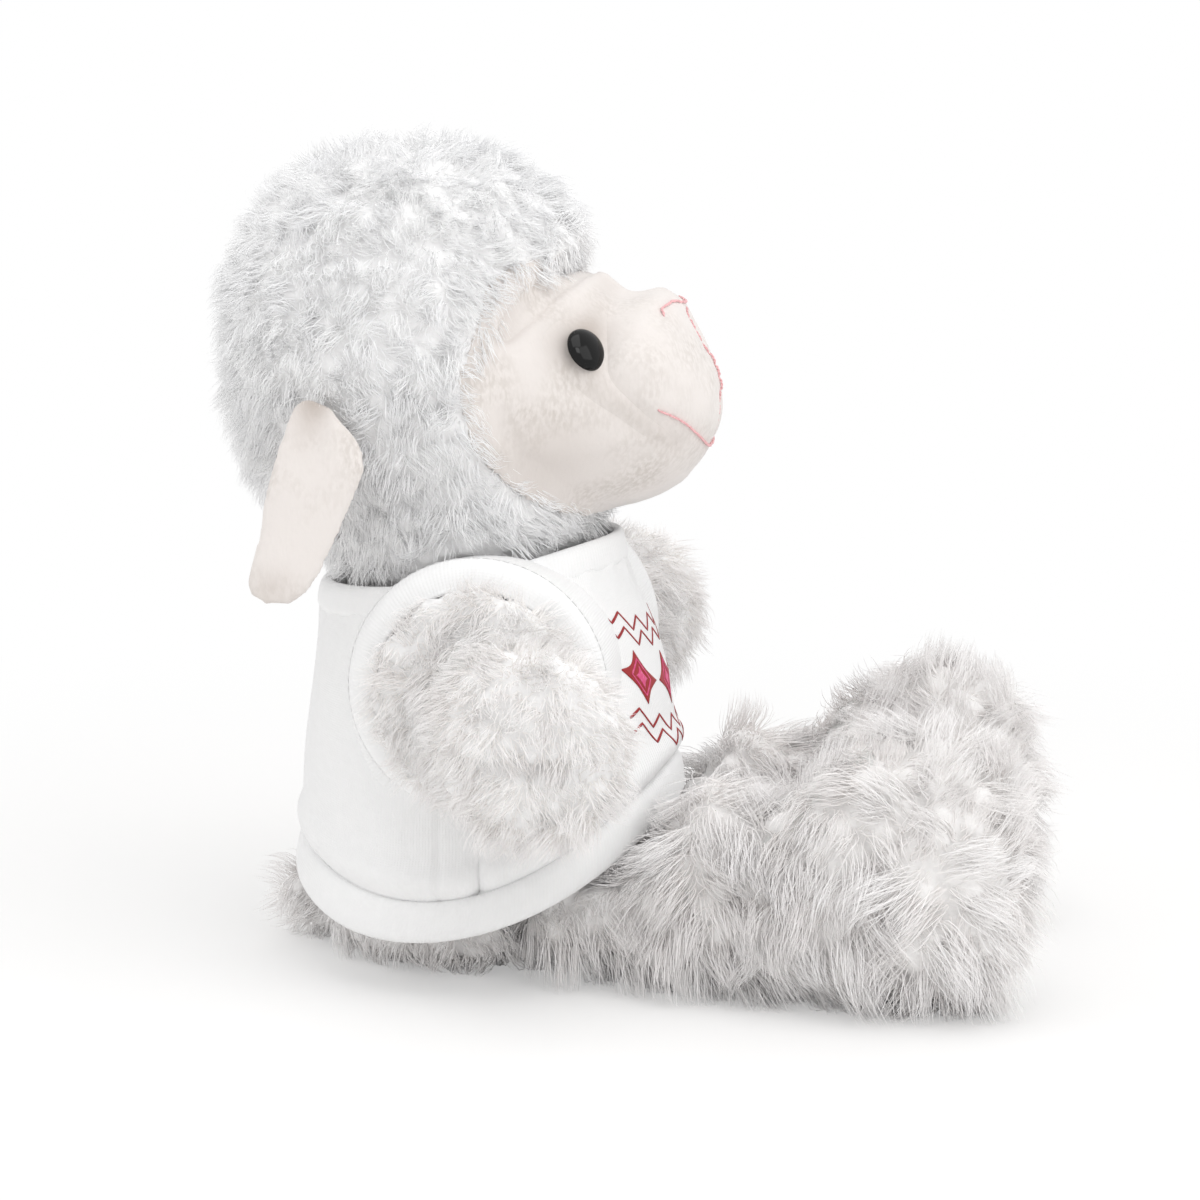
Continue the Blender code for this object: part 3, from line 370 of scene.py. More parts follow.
# %% [markdown]
# Pile. Real plush fur is cut from a knitted backing as fibres thinner than 0.05 mm, and they
# stand in locks: a lock's fibres start side by side and lean together at the tip. Here each
# strand is a three-sided tube that tapers to a point. It is drawn about five times as thick
# as a fibre, so that it still shows in the picture. Hair particles would be quicker to make,
# but they are not a mesh and would be lost on the way out of Blender, so numpy places the
# strands and writes them as one mesh.

# %% Locks and strands
KEPT_SHARE = 0.35
TIP_TAPER = 0.75
LOCK_TRIES = 6


def scatter(mesh, count):
    """Places spread evenly over a surface, with the directions out of it."""
    mesh.calc_loop_triangles()
    corners = np.empty(len(mesh.loop_triangles) * 3, int)
    mesh.loop_triangles.foreach_get("vertices", corners)
    corners = corners.reshape(-1, 3)
    areas = np.empty(len(corners))
    mesh.loop_triangles.foreach_get("area", areas)
    chosen = corners[DRAW.choice(len(corners), count, p=areas / areas.sum())]
    a, b = DRAW.random((2, count))
    over = a + b > 1
    a[over], b[over] = 1 - a[over], 1 - b[over]
    shares = np.stack([1 - a - b, a, b], axis=1)[..., None]
    places = (points_of(mesh)[chosen] * shares).sum(axis=1)
    outward = unit((normals_of(mesh)[chosen] * shares).sum(axis=1))
    return places, outward, areas.sum()


def spaced(places, gap):
    """The numbers of those places that keep a gap to all that were kept before them."""
    kept, cells = [], {}
    for number, place in enumerate(places):
        cell = tuple(int(v) for v in place // gap)
        near = [cells.get((cell[0] + i, cell[1] + j, cell[2] + k), ())
                for i in (-1, 0, 1) for j in (-1, 0, 1) for k in (-1, 0, 1)]
        if all(((places[other] - place) ** 2).sum() > gap * gap
               for group in near for other in group):
            kept.append(number)
            cells.setdefault(cell, []).append(number)
    return np.array(kept)


def nearest_lock(places, centres):
    """For each place, the number of its nearest lock and the distance to it."""
    tree = KDTree(len(centres))
    for number, centre in enumerate(centres):
        tree.insert(centre, number)
    tree.balance()
    found = [tree.find(place)[1:] for place in places]
    return np.array([f[0] for f in found]), np.array([f[1] for f in found])


def strand_mesh(name, paths, widths, tones):
    """Three-sided tubes along paths of equal count, each closed to a point at its tip.

    The bake map runs from root to tip one way and holds the strand's own tone the other way.
    """
    count, steps, _ = paths.shape
    ahead = unit(np.gradient(paths, axis=1))[:, :-1]
    side = unit(np.cross(ahead, unit(DRAW.normal(size=(count, 1, 3)))))
    up = np.cross(side, ahead)
    turns = np.arange(3) * 2 * math.pi / 3
    ring = (np.cos(turns)[:, None] * side[:, :, None] + np.sin(turns)[:, None] * up[:, :, None])
    corners = paths[:, :-1, None] + widths[:, :, None, None] * ring
    places = np.concatenate([corners.reshape(count, -1, 3), paths[:, -1:]], axis=1)
    per = places.shape[1]
    quads = [(3 * k + s, 3 * k + (s + 1) % 3, 3 * k + 3 + (s + 1) % 3, 3 * k + 3 + s)
             for k in range(steps - 2) for s in range(3)]
    last = 3 * (steps - 2)
    tips = [(0, 2, 1)] + [(last + s, last + (s + 1) % 3, per - 1) for s in range(3)]
    first = (np.arange(count) * per)[:, None]
    loops = np.concatenate([np.array(quads, int).reshape(1, -1) + first,
                            np.array(tips).reshape(1, -1) + first], axis=1)
    sizes = np.tile([4] * len(quads) + [3] * len(tips), count)
    mesh = bpy.data.meshes.new(name)
    mesh.vertices.add(count * per)
    mesh.loops.add(loops.size)
    mesh.polygons.add(len(sizes))
    mesh.vertices.foreach_set("co", places.ravel())
    mesh.loops.foreach_set("vertex_index", loops.ravel())
    mesh.polygons.foreach_set("loop_start", np.concatenate([[0], np.cumsum(sizes)[:-1]]))
    along = np.repeat(np.arange(steps) / (steps - 1), [3] * (steps - 1) + [1])
    flat = np.concatenate([np.array(quads, int).ravel(), np.array(tips).ravel()])
    bake = np.stack([np.tile(along[flat], count), np.repeat(tones, len(flat))], axis=1)
    mesh.uv_layers.new(name="OFBake").data.foreach_set("uv", bake.ravel())
    mesh.update(calc_edges=True)
    mesh.validate()
    return mesh


def reach_before(tree, root, direction, length, margin):
    """How long a strand can be before it meets a neighbour's surface."""
    hit = tree.ray_cast(Vector(root), Vector(direction), length + margin)
    return length if hit[0] is None else max(0.0, hit[3] - margin)


def grow(mesh, pile, comb, allowed, blockers):
    """Paths of the strands on a skin, with their widths and tones and the locks' middles.

    comb gives the lie of the pile at each place, allowed says where it grows, and blockers
    are surfaces that no strand crosses.
    """
    area = scatter(mesh, 1)[2]
    places, outward, _ = scatter(mesh, int(area * pile["per_mm2"] / MM ** 2))
    keep = allowed(places, outward)
    places, outward = places[keep], outward[keep]
    centres, centre_out, _ = scatter(mesh, int(LOCK_TRIES * area / pile["lock_gap"] ** 2))
    chosen = spaced(centres, pile["lock_gap"])
    centres, centre_out = centres[chosen], centre_out[chosen]
    lock, _ = nearest_lock(places, centres)
    lay = comb(centres, centre_out) + pile["stray"] * DRAW.normal(size=centres.shape)
    lay -= centre_out * (lay * centre_out).sum(axis=1, keepdims=True)
    lean = pile["lean"]
    axis = unit((1 - lean) * centre_out + lean * unit(lay))
    own = unit((1 - lean) * outward + lean * unit(lay)[lock]
               + pile["fray"] * DRAW.normal(size=places.shape))
    size = pile["length"] * (1 + pile["uneven"] * DRAW.uniform(-1, 1, len(centres)))
    length = size[lock] * DRAW.uniform(0.75, 1.1, len(places))
    reach = np.array([reach_before(blockers, p, d, r, pile["margin"])
                      for p, d, r in zip(places, own, length)])
    keep = reach > KEPT_SHARE * length
    places, own, lock, length = places[keep], own[keep], lock[keep], reach[keep]
    sideways = unit(np.cross(axis, unit(DRAW.normal(size=axis.shape))))
    upward = np.cross(axis, sideways)
    phase = DRAW.uniform(0, 2 * math.pi, len(centres))
    steps = np.linspace(0, 1, pile["steps"])
    paths = []
    for step in steps:
        gather = pile["gather"] * step ** 1.3
        free = places + own * length[:, None] * step
        bound = centres[lock] + axis[lock] * (length * step)[:, None]
        turn = phase[lock] + 2 * math.pi * pile["turns"] * step
        curl = pile["curl"] * step ** 0.7 * (np.cos(turn)[:, None] * sideways[lock]
                                           + np.sin(turn)[:, None] * upward[lock])
        path = (1 - gather) * free + gather * bound + curl
        path[:, 2] -= pile["droop"] * length * step ** 2
        paths.append(path)
    paths = np.stack(paths, axis=1)
    paths[..., 2] = np.maximum(paths[..., 2], pile["floor"])
    taper = 1 - TIP_TAPER * steps[:-1]
    widths = pile["thick"] / 2 * taper * DRAW.uniform(0.8, 1.2, (len(paths), 1))
    tones = DRAW.uniform(0.05, 0.95, len(centres))[lock] * 0.7 + DRAW.uniform(0, 0.3, len(paths))
    return paths, widths, tones, centres


def lumpy(mesh, centres, gap, height):
    """Raises a skin under each lock and sinks it between them, as the pile clumps."""
    points, outward = points_of(mesh), normals_of(mesh)
    _, far = nearest_lock(points, centres)
    rise = height * (1 - 2 * np.clip(far / (0.75 * gap), 0, 1) ** 2)
    place_points(mesh, points + outward * rise[:, None])

# %% [markdown]
# Polyester pile. The fibre is bright and a little see-through, so light goes from hair to
# hair and the depths stay pale grey. Painted shade at the root, for the shade deep in the
# pile, and a different tone for each lock do most of the work, and both come from the
# strand's own map: it runs from root to tip in u and holds the lock's tone in v. The backing
# under the hair is knitted felt.

# %% Pile and backing materials
FELT_GRAIN_MM = 0.9


def pile_finish(name, root, tip, shade):
    """Painted shade at the hair's root for the pile's depth; locks of slightly different tone."""
    material, tree, shader = finish_of(name, tip, 0.75, sheen=0.25)
    where = add(tree, "ShaderNodeUVMap", uv_map="OFBake")
    parts = add(tree, "ShaderNodeSeparateXYZ", {0: where.outputs[0]})
    rise = add(tree, "ShaderNodeMapRange", {0: parts.outputs["X"]},
               interpolation_type="SMOOTHSTEP")
    rise.inputs[2].default_value = 0.6
    # Painted shade: the root colour darkens the lower part of each strand, for the shade deep in
    # the pile.
    ground = add(tree, "ShaderNodeMix", {0: rise.outputs[0]}, data_type="RGBA")
    ground.inputs[6].default_value = colour(root)
    ground.inputs[7].default_value = colour(tip)
    tone = add(tree, "ShaderNodeMix", {0: parts.outputs["Y"], 6: ground.outputs[2]},
               data_type="RGBA", blend_type="MULTIPLY")
    tone.inputs[7].default_value = colour(shade)
    tree.links.new(tone.outputs[2], shader.inputs["Base Color"])
    return material


def felt_finish(name, base, dark):
    """The knitted backing that shows between the locks: soft noise in colour and height."""
    material, tree, shader = finish_of(name, base, 0.95, sheen=0.3)
    where = add(tree, "ShaderNodeTexCoord")
    noise = add(tree, "ShaderNodeTexNoise", {"Vector": where.outputs["Object"]},
                scale=per_metre(FELT_GRAIN_MM), detail=3.0)
    mix = add(tree, "ShaderNodeMix", {0: noise.outputs["Fac"]}, data_type="RGBA")
    mix.inputs[6].default_value = colour(dark)
    mix.inputs[7].default_value = colour(base)
    tree.links.new(mix.outputs[2], shader.inputs["Base Color"])
    bump = add(tree, "ShaderNodeBump", {"Height": noise.outputs["Fac"]},
               strength=0.5, distance=0.3 * MM)
    tree.links.new(bump.outputs[0], shader.inputs["Normal"])
    return material


wool_pile = pile_finish("curly_sherpa_pile", "#fafafa", "#fefefe", "#fafafb")
shag_pile = pile_finish("shaggy_lock_pile", "#f9f7f6", "#fefdfd", "#f9f7f6")
arm_pile = pile_finish("fluffy_arm_pile", "#faf8f6", "#fefdfd", "#f9f7f6")
wool_felt = felt_finish("sherpa_backing", "#fbfbfb", "#f4f3f3")
shag_felt = felt_finish("shag_backing", "#faf9f8", "#f1efee")

# %% [markdown]
# Head wool. The sherpa on the head has the shortest and tightest curl: clumps 4 to 6 mm
# across that lie every way, combed down and a little forward. The skin is one melt of the
# wool cover and the filling, so it also backs the face, under which it is drawn in further.
# The face's edge is a table of angles about the face's middle: first how far up or down a
# place lies, then how far round from straight ahead the face goes there. Hair starts at that
# edge and stops where the tee covers it.

# %% Head wool
WOOL_PILE = {
    "length": 6.3 * MM, "lock_gap": 4.0 * MM, "per_mm2": 1.55, "thick": 0.27 * MM,
    "lean": 0.50, "stray": 0.55, "fray": 0.30, "uneven": 0.30, "gather": 0.50,
    "curl": 0.8 * MM, "turns": 0.6, "droop": 0.10, "steps": 4, "margin": 0.4 * MM,
    "floor": 0.2 * MM,
}
MOST_STRANDS = 8800
TEE_COVER = 14.0 * MM
FACE_CENTRE = np.array([0.0, 0.030, 0.140])
FACE_EDGE = ((-90, 44), (-60, 60), (-42.7, 74), (-31.3, 84), (-18.9, 92), (5, 95.5), (23.7, 90),
             (37.6, 87), (45, 81.5), (54, 73), (70, 55), (90, 49))
UNDER_FACE = 3.0 * MM
UNDER_FADE = 6.0
tee_tree = tree_of("tee_front", "tee_back", "tee_neckband", "tee_hem_band", "tee_sleeve_left",
                   "tee_sleeve_right")


def round_face(places):
    """Each place's angle from straight ahead about the face's middle, and the edge's there."""
    away_from = places - FACE_CENTRE
    angle = np.degrees(np.arccos(-away_from[:, 1] / np.linalg.norm(away_from, axis=1)))
    lift = np.degrees(np.arctan2(away_from[:, 2], np.abs(away_from[:, 0])))
    return angle, np.interp(lift, *np.array(FACE_EDGE, float).T)


def behind_face(places, degrees):
    """True for places further back than the face's edge by some degrees."""
    angle, edge = round_face(places)
    return angle > edge + degrees


def uncovered(places, outward):
    """True where no part of the tee lies over a place."""
    return np.array([tee_tree.ray_cast(Vector(p), Vector(n), TEE_COVER)[0] is None
                     for p, n in zip(places, outward)])


def combed(*direction):
    """A pile that lies one way all over."""
    return lambda places, outward: np.tile(np.array(direction, float), (len(places), 1))


def furred(name, mesh, pile, comb, allowed, skin, hair, body, slot, *nodes):
    """A lumpy skin and its hair, split into pieces of a size that others can open."""
    paths, widths, tones, centres = grow(mesh, pile, comb, allowed, tee_tree)
    lumpy(mesh, centres, pile["lock_gap"], 0.10 * pile["length"])
    piece = show(name, mesh, skin, body, slot, *nodes)
    parts = max(1, math.ceil(len(paths) / MOST_STRANDS))
    order = np.argsort(paths[:, 0, 2], kind="stable")
    for number, group in enumerate(np.array_split(order, parts), start=1):
        title = f"{name}_pile_{number}"
        show(title, strand_mesh(title, paths[group], widths[group], tones[group]),
             hair, body, slot, *nodes, smooth=False)
    print(name, "strands", len(paths), "locks", len(centres), "pieces", parts)
    return piece


head_skin = melted("head_wool_skin", ["head_wool_cover", "head_filling"], 1.8 * MM, 6,
                   draw_in=2.6 * MM)
points = points_of(head_skin)
angle, edge = round_face(points)
sink = UNDER_FACE * ramp(edge - angle, 0, UNDER_FADE)
place_points(head_skin, points - normals_of(head_skin) * sink[:, None])
head_wool = furred("head_wool", head_skin, WOOL_PILE, combed(0, -0.35, -0.8),
                   lambda p, n: behind_face(p, -0.5) & uncovered(p, n),
                   wool_felt, wool_pile, "head", "curly_wool", "head_wool_cover")

# %% [markdown]
# Legs. The longest hair is here: soft locks of 8 to 16 mm that hang from the thigh, lie
# forward along the shin and fan out round the upturned foot. At the floor they stop flat.
# The skin is drawn in by what the leaning hair stands up, and the thigh is plumped up in
# front of the hem, as the stuffing does when a toy sits.

# %% Legs
SHAG_PILE = {
    "length": 12.0 * MM, "lock_gap": 6.0 * MM, "per_mm2": 1.15, "thick": 0.29 * MM,
    "lean": 0.60, "stray": 0.45, "fray": 0.24, "uneven": 0.35, "gather": 0.50,
    "curl": 1.2 * MM, "turns": 0.5, "droop": 0.10, "steps": 5, "margin": 0.5 * MM,
    "floor": 0.25 * MM,
}
FOOT_MIDDLE = (0.0, -78.0 * MM, 34.0 * MM)
FOOT_START = 52.0 * MM
FOOT_BLEND = 20.0 * MM
THIGH_RISE = 9.0 * MM
THIGH_MIDDLE = -20.0 * MM
THIGH_REACH = 13.0 * MM


def leg_comb(places, outward):
    """Down and forward on the thigh and shin, outward from its middle round the foot."""
    foot = ramp(-places[:, 1], FOOT_START, FOOT_BLEND)[:, None]
    fan = unit((places - FOOT_MIDDLE) * (0, 1, 1))
    return np.array([0.0, -0.5, -0.9]) * (1 - foot) + fan * foot


def plump(mesh):
    """Raises the thigh's top in front of the hem, where the stuffing is pushed up."""
    points, outward = points_of(mesh), normals_of(mesh)
    upper = np.clip(outward[:, 2], 0, 1) ** 0.6 * ramp(points[:, 2], 12 * MM, 10 * MM)
    points[:, 2] += THIGH_RISE * bell(points[:, 1] - THIGH_MIDDLE, THIGH_REACH) * upper
    place_points(mesh, points)
    relax(mesh, 3)


for side, _ in SIDES:
    skin = melted(f"leg_skin_{side}", [f"leg_cover_{side}", f"leg_filling_{side}"], 2.2 * MM,
                  8, draw_in=3.2 * MM)
    plump(skin)
    furred(f"leg_{side}", skin, SHAG_PILE, leg_comb, uncovered, shag_felt, shag_pile,
           f"leg_{side}", "shaggy_fur", f"leg_cover_{side}")

# %% [markdown]
# Arms. Shorter, fluffier pile that stands nearly straight, so that an arm seen from its hand
# end is a soft disc with a ragged edge. In the sleeve the arm is narrow, at the cuff it fills
# the opening, and its hand hangs forward and down. A seam runs across the hand and draws the
# skin in a little.

# %% Arms
ARM_PILE = {
    "length": 6.8 * MM, "lock_gap": 4.4 * MM, "per_mm2": 1.45, "thick": 0.26 * MM,
    "lean": 0.45, "stray": 0.60, "fray": 0.30, "uneven": 0.35, "gather": 0.45,
    "curl": 0.8 * MM, "turns": 0.5, "droop": 0.12, "steps": 4, "margin": 0.4 * MM,
    "floor": 0.25 * MM,
}
JOINTS = {joint["name"]: joint for joint in frame["joints"]}
HAND_START = 46.0 * MM
HAND_BLEND = 16.0 * MM
HAND_FORWARD = 4.5 * MM
HAND_DROP = 4.5 * MM
SLEEVE_ROOM = 22.6 * MM
SLEEVE_END = 49.4 * MM
SLEEVE_OPENS = 2.4
CUFF_START = 50.2 * MM
CUFF_END = 58.0 * MM
CUFF_FLARE = 23.8 * MM
SEAM_SINK = 2.6 * MM
SEAM_DROP = 2.5 * MM
SEAM_FORWARD = 5.0 * MM
SEAM_REACH = 19.0 * MM


def arm_comb(places, outward):
    """Down on the hand, and outward where it comes out of the sleeve."""
    mouth = 1 - ramp(np.abs(places[:, 0]), 54 * MM, 8 * MM)
    return np.stack([np.sign(places[:, 0]) * 0.6 * mouth, np.full(len(places), -0.25),
                     -1.0 * (1 - 0.8 * mouth)], axis=1)


def hang(mesh, side, sign):
    """Narrows an arm in its sleeve, moves its hand forward and down and draws in its seam."""
    shoulder = np.array(JOINTS[f"arm_{side}_swing"]["pos_m"])
    points = points_of(mesh)
    out = sign * points[:, 0]
    beyond = eased(ramp(out, HAND_START, HAND_BLEND))
    points = points + beyond[:, None] * np.array([0.0, -HAND_FORWARD, -HAND_DROP])
    across = points[:, 1:] - shoulder[1:]
    far = np.linalg.norm(across, axis=1)
    wide = np.minimum(far, SLEEVE_ROOM + SLEEVE_OPENS * np.clip(out - SLEEVE_END, 0, None))
    flare = ramp(out, CUFF_START, 2.5 * MM) * (1 - ramp(out, CUFF_END, 6 * MM))
    flare = flare * ramp(far, 12 * MM, 5 * MM)
    wide = wide + flare * np.clip(CUFF_FLARE - wide, 0, None)
    points[:, 1:] = shoulder[1:] + across * (wide / far)[:, None]
    hand = points[beyond > 0.9].mean(axis=0)
    over = points[:, 2] - hand[2] + SEAM_DROP
    behind = np.abs(points[:, 1] - hand[1] + SEAM_FORWARD)
    facing = ramp(out, 60 * MM, 8 * MM) * (1 - ramp(behind, 0, SEAM_REACH)) ** 0.5
    points[:, 0] -= sign * SEAM_SINK * bell(over, 2.2 * MM) * facing
    place_points(mesh, points)
    relax(mesh, 3)


for side, sign in SIDES:
    skin = melted(f"arm_skin_{side}", [f"arm_cover_{side}", f"arm_filling_{side}"], 1.8 * MM,
                  8, draw_in=2.6 * MM)
    hang(skin, side, sign)
    furred(f"arm_{side}", skin, ARM_PILE, arm_comb, uncovered, wool_felt, arm_pile,
           f"arm_{side}", "arm_fur", f"arm_cover_{side}")

# %% [markdown]
# Body and tail. The tee hides nearly all of the body, so hair grows only on what shows under
# its hem. The tail is a small tuft.

# %% Body and tail
BODY_PILE = dict(SHAG_PILE, length=8.0 * MM, lean=0.62, per_mm2=0.75, thick=0.36 * MM)
BODY_HAIR_TOP = 50.0 * MM
body_skin = melted("body_skin", ["body_cover", "body_filling", "pellet_bag"], 2.4 * MM, 6,
                   draw_in=2.4 * MM)
furred("body", body_skin, BODY_PILE, combed(0, 0, -1),
       lambda p, n: uncovered(p, n) & (p[:, 2] < BODY_HAIR_TOP), shag_felt, shag_pile,
       "torso", "shaggy_fur", "body_cover")
tail_skin = melted("tail_skin", ["tail"], 1.2 * MM, 6, draw_in=2.0 * MM)
furred("tail", tail_skin, BODY_PILE, combed(0, 0.8, -0.5), uncovered, shag_felt, shag_pile,
       "tail", "shaggy_fur", "tail")

# %% [markdown]
# Face. Velboa is a knitted cloth with a nap of about 1 mm, so the face is smooth, with soft
# creases where the stitches pull it in. The face starts as one melt of the face, the wool and
# the filling, so that there is no step between face and wool: the wool's part is sunk to the
# face's level, and the valley between them is smoothed out. A shell as thick as the cloth is
# cut from that melt, and it reaches further up over the brow, under the fringe. Then a crease
# is drawn from the top of the muzzle past the front of the eye to the corner of the mouth,
# the muzzle swells in front of it, a groove parts the lips and each eye pulls a dimple.

# %% Face
CREASE = ((0.0050, 0.1640), (0.0068, 0.1560), (0.0063, 0.1480), (0.0045, 0.1425),
          (-0.0010, 0.1375), (-0.0070, 0.1320), (-0.0125, 0.1280))
CREASE_DEPTH = 1.2 * MM
CREASE_WIDTH = 4.2 * MM
MUZZLE_SIDE = (-0.0085, 0.1480)
MUZZLE_SWELL = 1.3 * MM
LIP_GROOVE = 1.4 * MM
DIMPLE = 1.3 * MM
DIMPLE_REACH = 8.0 * MM
WOOL_SINK = 2.3 * MM
VALLEY_FROM = 44
VALLEY_PAST = 4
VALLEY_ROUNDS = 170
VALLEY_LOSS = 1.6 * MM
BROW_REACH = 7.0
BROW_LEVEL = 160.0 * MM
VELBOA_THICK = 1.2 * MM
GROOVE_ENDS = (126, 158)
GROOVE_GAP = (137, 147)
GROOVE_FADE = 2
CHEEK = (30.0 * MM, 16.0 * MM, 124.0 * MM)
OUTSIDE = 0.2
face_tree = tree_of("face_cover")


def seen_from(tree, start, direction):
    """Where a line first meets a surface, and the surface's direction there."""
    place, outward = tree.ray_cast(Vector(start), Vector(direction))[:2]
    return np.array(place), np.array(outward)


def smooth_line(places, steps):
    """A smooth curve through a few places, as evenly spaced points."""
    places = np.asarray(places, float)
    ends = np.concatenate([2 * places[:1] - places[1:2], places, 2 * places[-1:] - places[-2:-1]])
    points = []
    for a, b, c, d in zip(ends, ends[1:], ends[2:], ends[3:]):
        for t in np.linspace(0, 1, 12, endpoint=False):
            points.append(0.5 * (2 * b + (c - a) * t + (2 * a - 5 * b + 4 * c - d) * t ** 2
                                 + (3 * b - a - 3 * c + d) * t ** 3))
    points = np.array(points + [places[-1]])
    far = length_along(points)
    at = np.linspace(0, far[-1], steps)
    return np.stack([np.interp(at, far, points[:, k]) for k in range(points.shape[1])], axis=1)


def near(points, places):
    """Each point's distance to the nearest of some places."""
    return nearest_lock(points, places)[1]


def velboa_finish(name, base, nap, wear_and_shade):
    """Short-napped cloth: fine streaks that lie one way and darker soft patches, with painted
    shade in the creases and hollows from the bake map's u.
    """
    material, tree, shader = finish_of(name, base, 0.9, sheen=0.35)
    where = add(tree, "ShaderNodeTexCoord")
    lie = add(tree, "ShaderNodeMapping", {"Vector": where.outputs["Object"]})
    lie.inputs["Scale"].default_value = (1.0, 0.7, 0.38)
    streaks = add(tree, "ShaderNodeTexNoise", {"Vector": lie.outputs[0]},
                  scale=per_metre(0.75), detail=4.0)
    patches = add(tree, "ShaderNodeTexNoise", {"Vector": where.outputs["Object"]},
                  scale=per_metre(16.0), detail=3.0)
    pick = add(tree, "ShaderNodeMapRange", {0: patches.outputs["Fac"]})
    pick.inputs[1].default_value = 0.42
    pick.inputs[2].default_value = 0.68
    low = add(tree, "ShaderNodeMapRange", {0: streaks.outputs["Fac"]})
    low.inputs[1].default_value = 0.62
    low.inputs[2].default_value = 0.40
    both = add(tree, "ShaderNodeMath", {0: pick.outputs[0], 1: low.outputs[0]},
               operation="MULTIPLY")
    colours = add(tree, "ShaderNodeMix", {0: both.outputs[0]}, data_type="RGBA")
    colours.inputs[6].default_value = colour(base)
    colours.inputs[7].default_value = colour(nap)
    # Painted shade: the bake map's u darkens the cloth towards the last colour in the creases and
    # hollows.
    hollow = add(tree, "ShaderNodeUVMap", uv_map="OFBake")
    depth = add(tree, "ShaderNodeSeparateXYZ", {0: hollow.outputs[0]})
    darker = add(tree, "ShaderNodeMix", {0: depth.outputs["X"], 6: colours.outputs[2]},
                 data_type="RGBA")
    darker.inputs[7].default_value = colour(wear_and_shade)
    tree.links.new(darker.outputs[2], shader.inputs["Base Color"])
    bump = add(tree, "ShaderNodeBump", {"Height": streaks.outputs["Fac"]},
               strength=0.45, distance=0.25 * MM)
    tree.links.new(bump.outputs[0], shader.inputs["Normal"])
    return material


def shell_of(mesh, kept, thick):
    """The kept part of a closed skin as cloth of a real thickness, closed at its edge."""
    shape = bmesh.new()
    shape.from_mesh(mesh)
    inside = kept(points_of(mesh))
    bmesh.ops.delete(shape, geom=[v for v, k in zip(list(shape.verts), inside) if not k],
                     context="VERTS")
    shape.normal_update()
    islands, seen = [], set()
    for vert in shape.verts:
        if vert in seen:
            continue
        island, edge = [], [vert]
        seen.add(vert)
        while edge:
            at = edge.pop()
            island.append(at)
            for link in at.link_edges:
                other = link.other_vert(at)
                if other not in seen:
                    seen.add(other)
                    edge.append(other)
        islands.append(island)
    largest = max(islands, key=len)
    bmesh.ops.delete(shape, geom=[v for island in islands if island is not largest
                                  for v in island], context="VERTS")
    shape.normal_update()
    outer = list(shape.verts)
    rims = [edge for edge in shape.edges if len(edge.link_faces) == 1]
    inner = {v: shape.verts.new(v.co - v.normal * thick) for v in outer}
    for face in list(shape.faces):
        shape.faces.new([inner[v] for v in reversed(face.verts)])
    for edge in rims:
        a, b = edge.verts
        shape.faces.new((a, b, inner[b], inner[a]))
    bmesh.ops.recalc_face_normals(shape, faces=shape.faces)
    return finished(mesh.name, shape)


def shade_map(mesh, shade):
    """Writes one value from 0 to 1 for each place into the bake map's u."""
    corners = np.empty(len(mesh.loops), int)
    mesh.loops.foreach_get("vertex_index", corners)
    flat = np.stack([np.clip(shade, 0, 1)[corners], np.full(len(corners), 0.5)], axis=1)
    mesh.uv_layers.new(name="OFBake").data.foreach_set("uv", flat.ravel())


def tuck_in(mesh, cover, under, degrees=90.0):
    """Moves places in towards the head's middle until they lie that far under a cover."""
    points, moved = points_of(mesh), 0
    angle, edge = round_face(points)
    for number in np.flatnonzero(angle < edge + degrees):
        far = np.linalg.norm(points[number] - FACE_CENTRE)
        ahead = (points[number] - FACE_CENTRE) / far
        hit = cover.ray_cast(Vector(FACE_CENTRE + ahead * OUTSIDE), Vector(-ahead))[0]
        if hit is not None and np.linalg.norm(np.array(hit) - FACE_CENTRE) < far + under:
            points[number] = np.array(hit) - ahead * under
            moved += 1
    place_points(mesh, points)
    return moved


def on_face(places):
    """True for places of the face's shell, which goes further back over the brow."""
    brow = BROW_REACH * bell(places[:, 0], 17 * MM) * (places[:, 2] > BROW_LEVEL)
    return ~behind_face(places, 2.0 + brow)


# The last colour is the painted shade of the face's creases and hollows.
velboa = velboa_finish("cream_velboa", "#e8e2de", "#d5cec8", "#b8ada5")
face_mesh = melted("face_velboa", ["face_cover", "head_wool_cover", "head_filling"], 1.1 * MM, 60)

# The wool's part is sunk, and the valley that is left at the face's edge is smoothed out.
points, outward = points_of(face_mesh), normals_of(face_mesh)
proud = np.array([face_tree.find_nearest(Vector(p))[3] for p in points])
sink = WOOL_SINK * eased(ramp(proud, 0.8 * MM, 4.0 * MM))
points = points - outward * sink[:, None]
edges = edges_of(face_mesh)
angle, edge = round_face(points)
valley = 0.8 * ramp(angle, VALLEY_FROM, 12) * (1 - ramp(angle, edge + VALLEY_PAST, 8))
start = points.copy()
for _ in range(VALLEY_ROUNDS):
    points = points + valley[:, None] * (neighbours_mean(points, edges) - points)
lost = ((start - points) * outward).sum(axis=1)
points = points + outward * (np.clip(lost, 0, VALLEY_LOSS) * 0.7)[:, None]
place_points(face_mesh, points)
relax(face_mesh, 12)
face_mesh = shell_of(face_mesh, on_face, VELBOA_THICK)

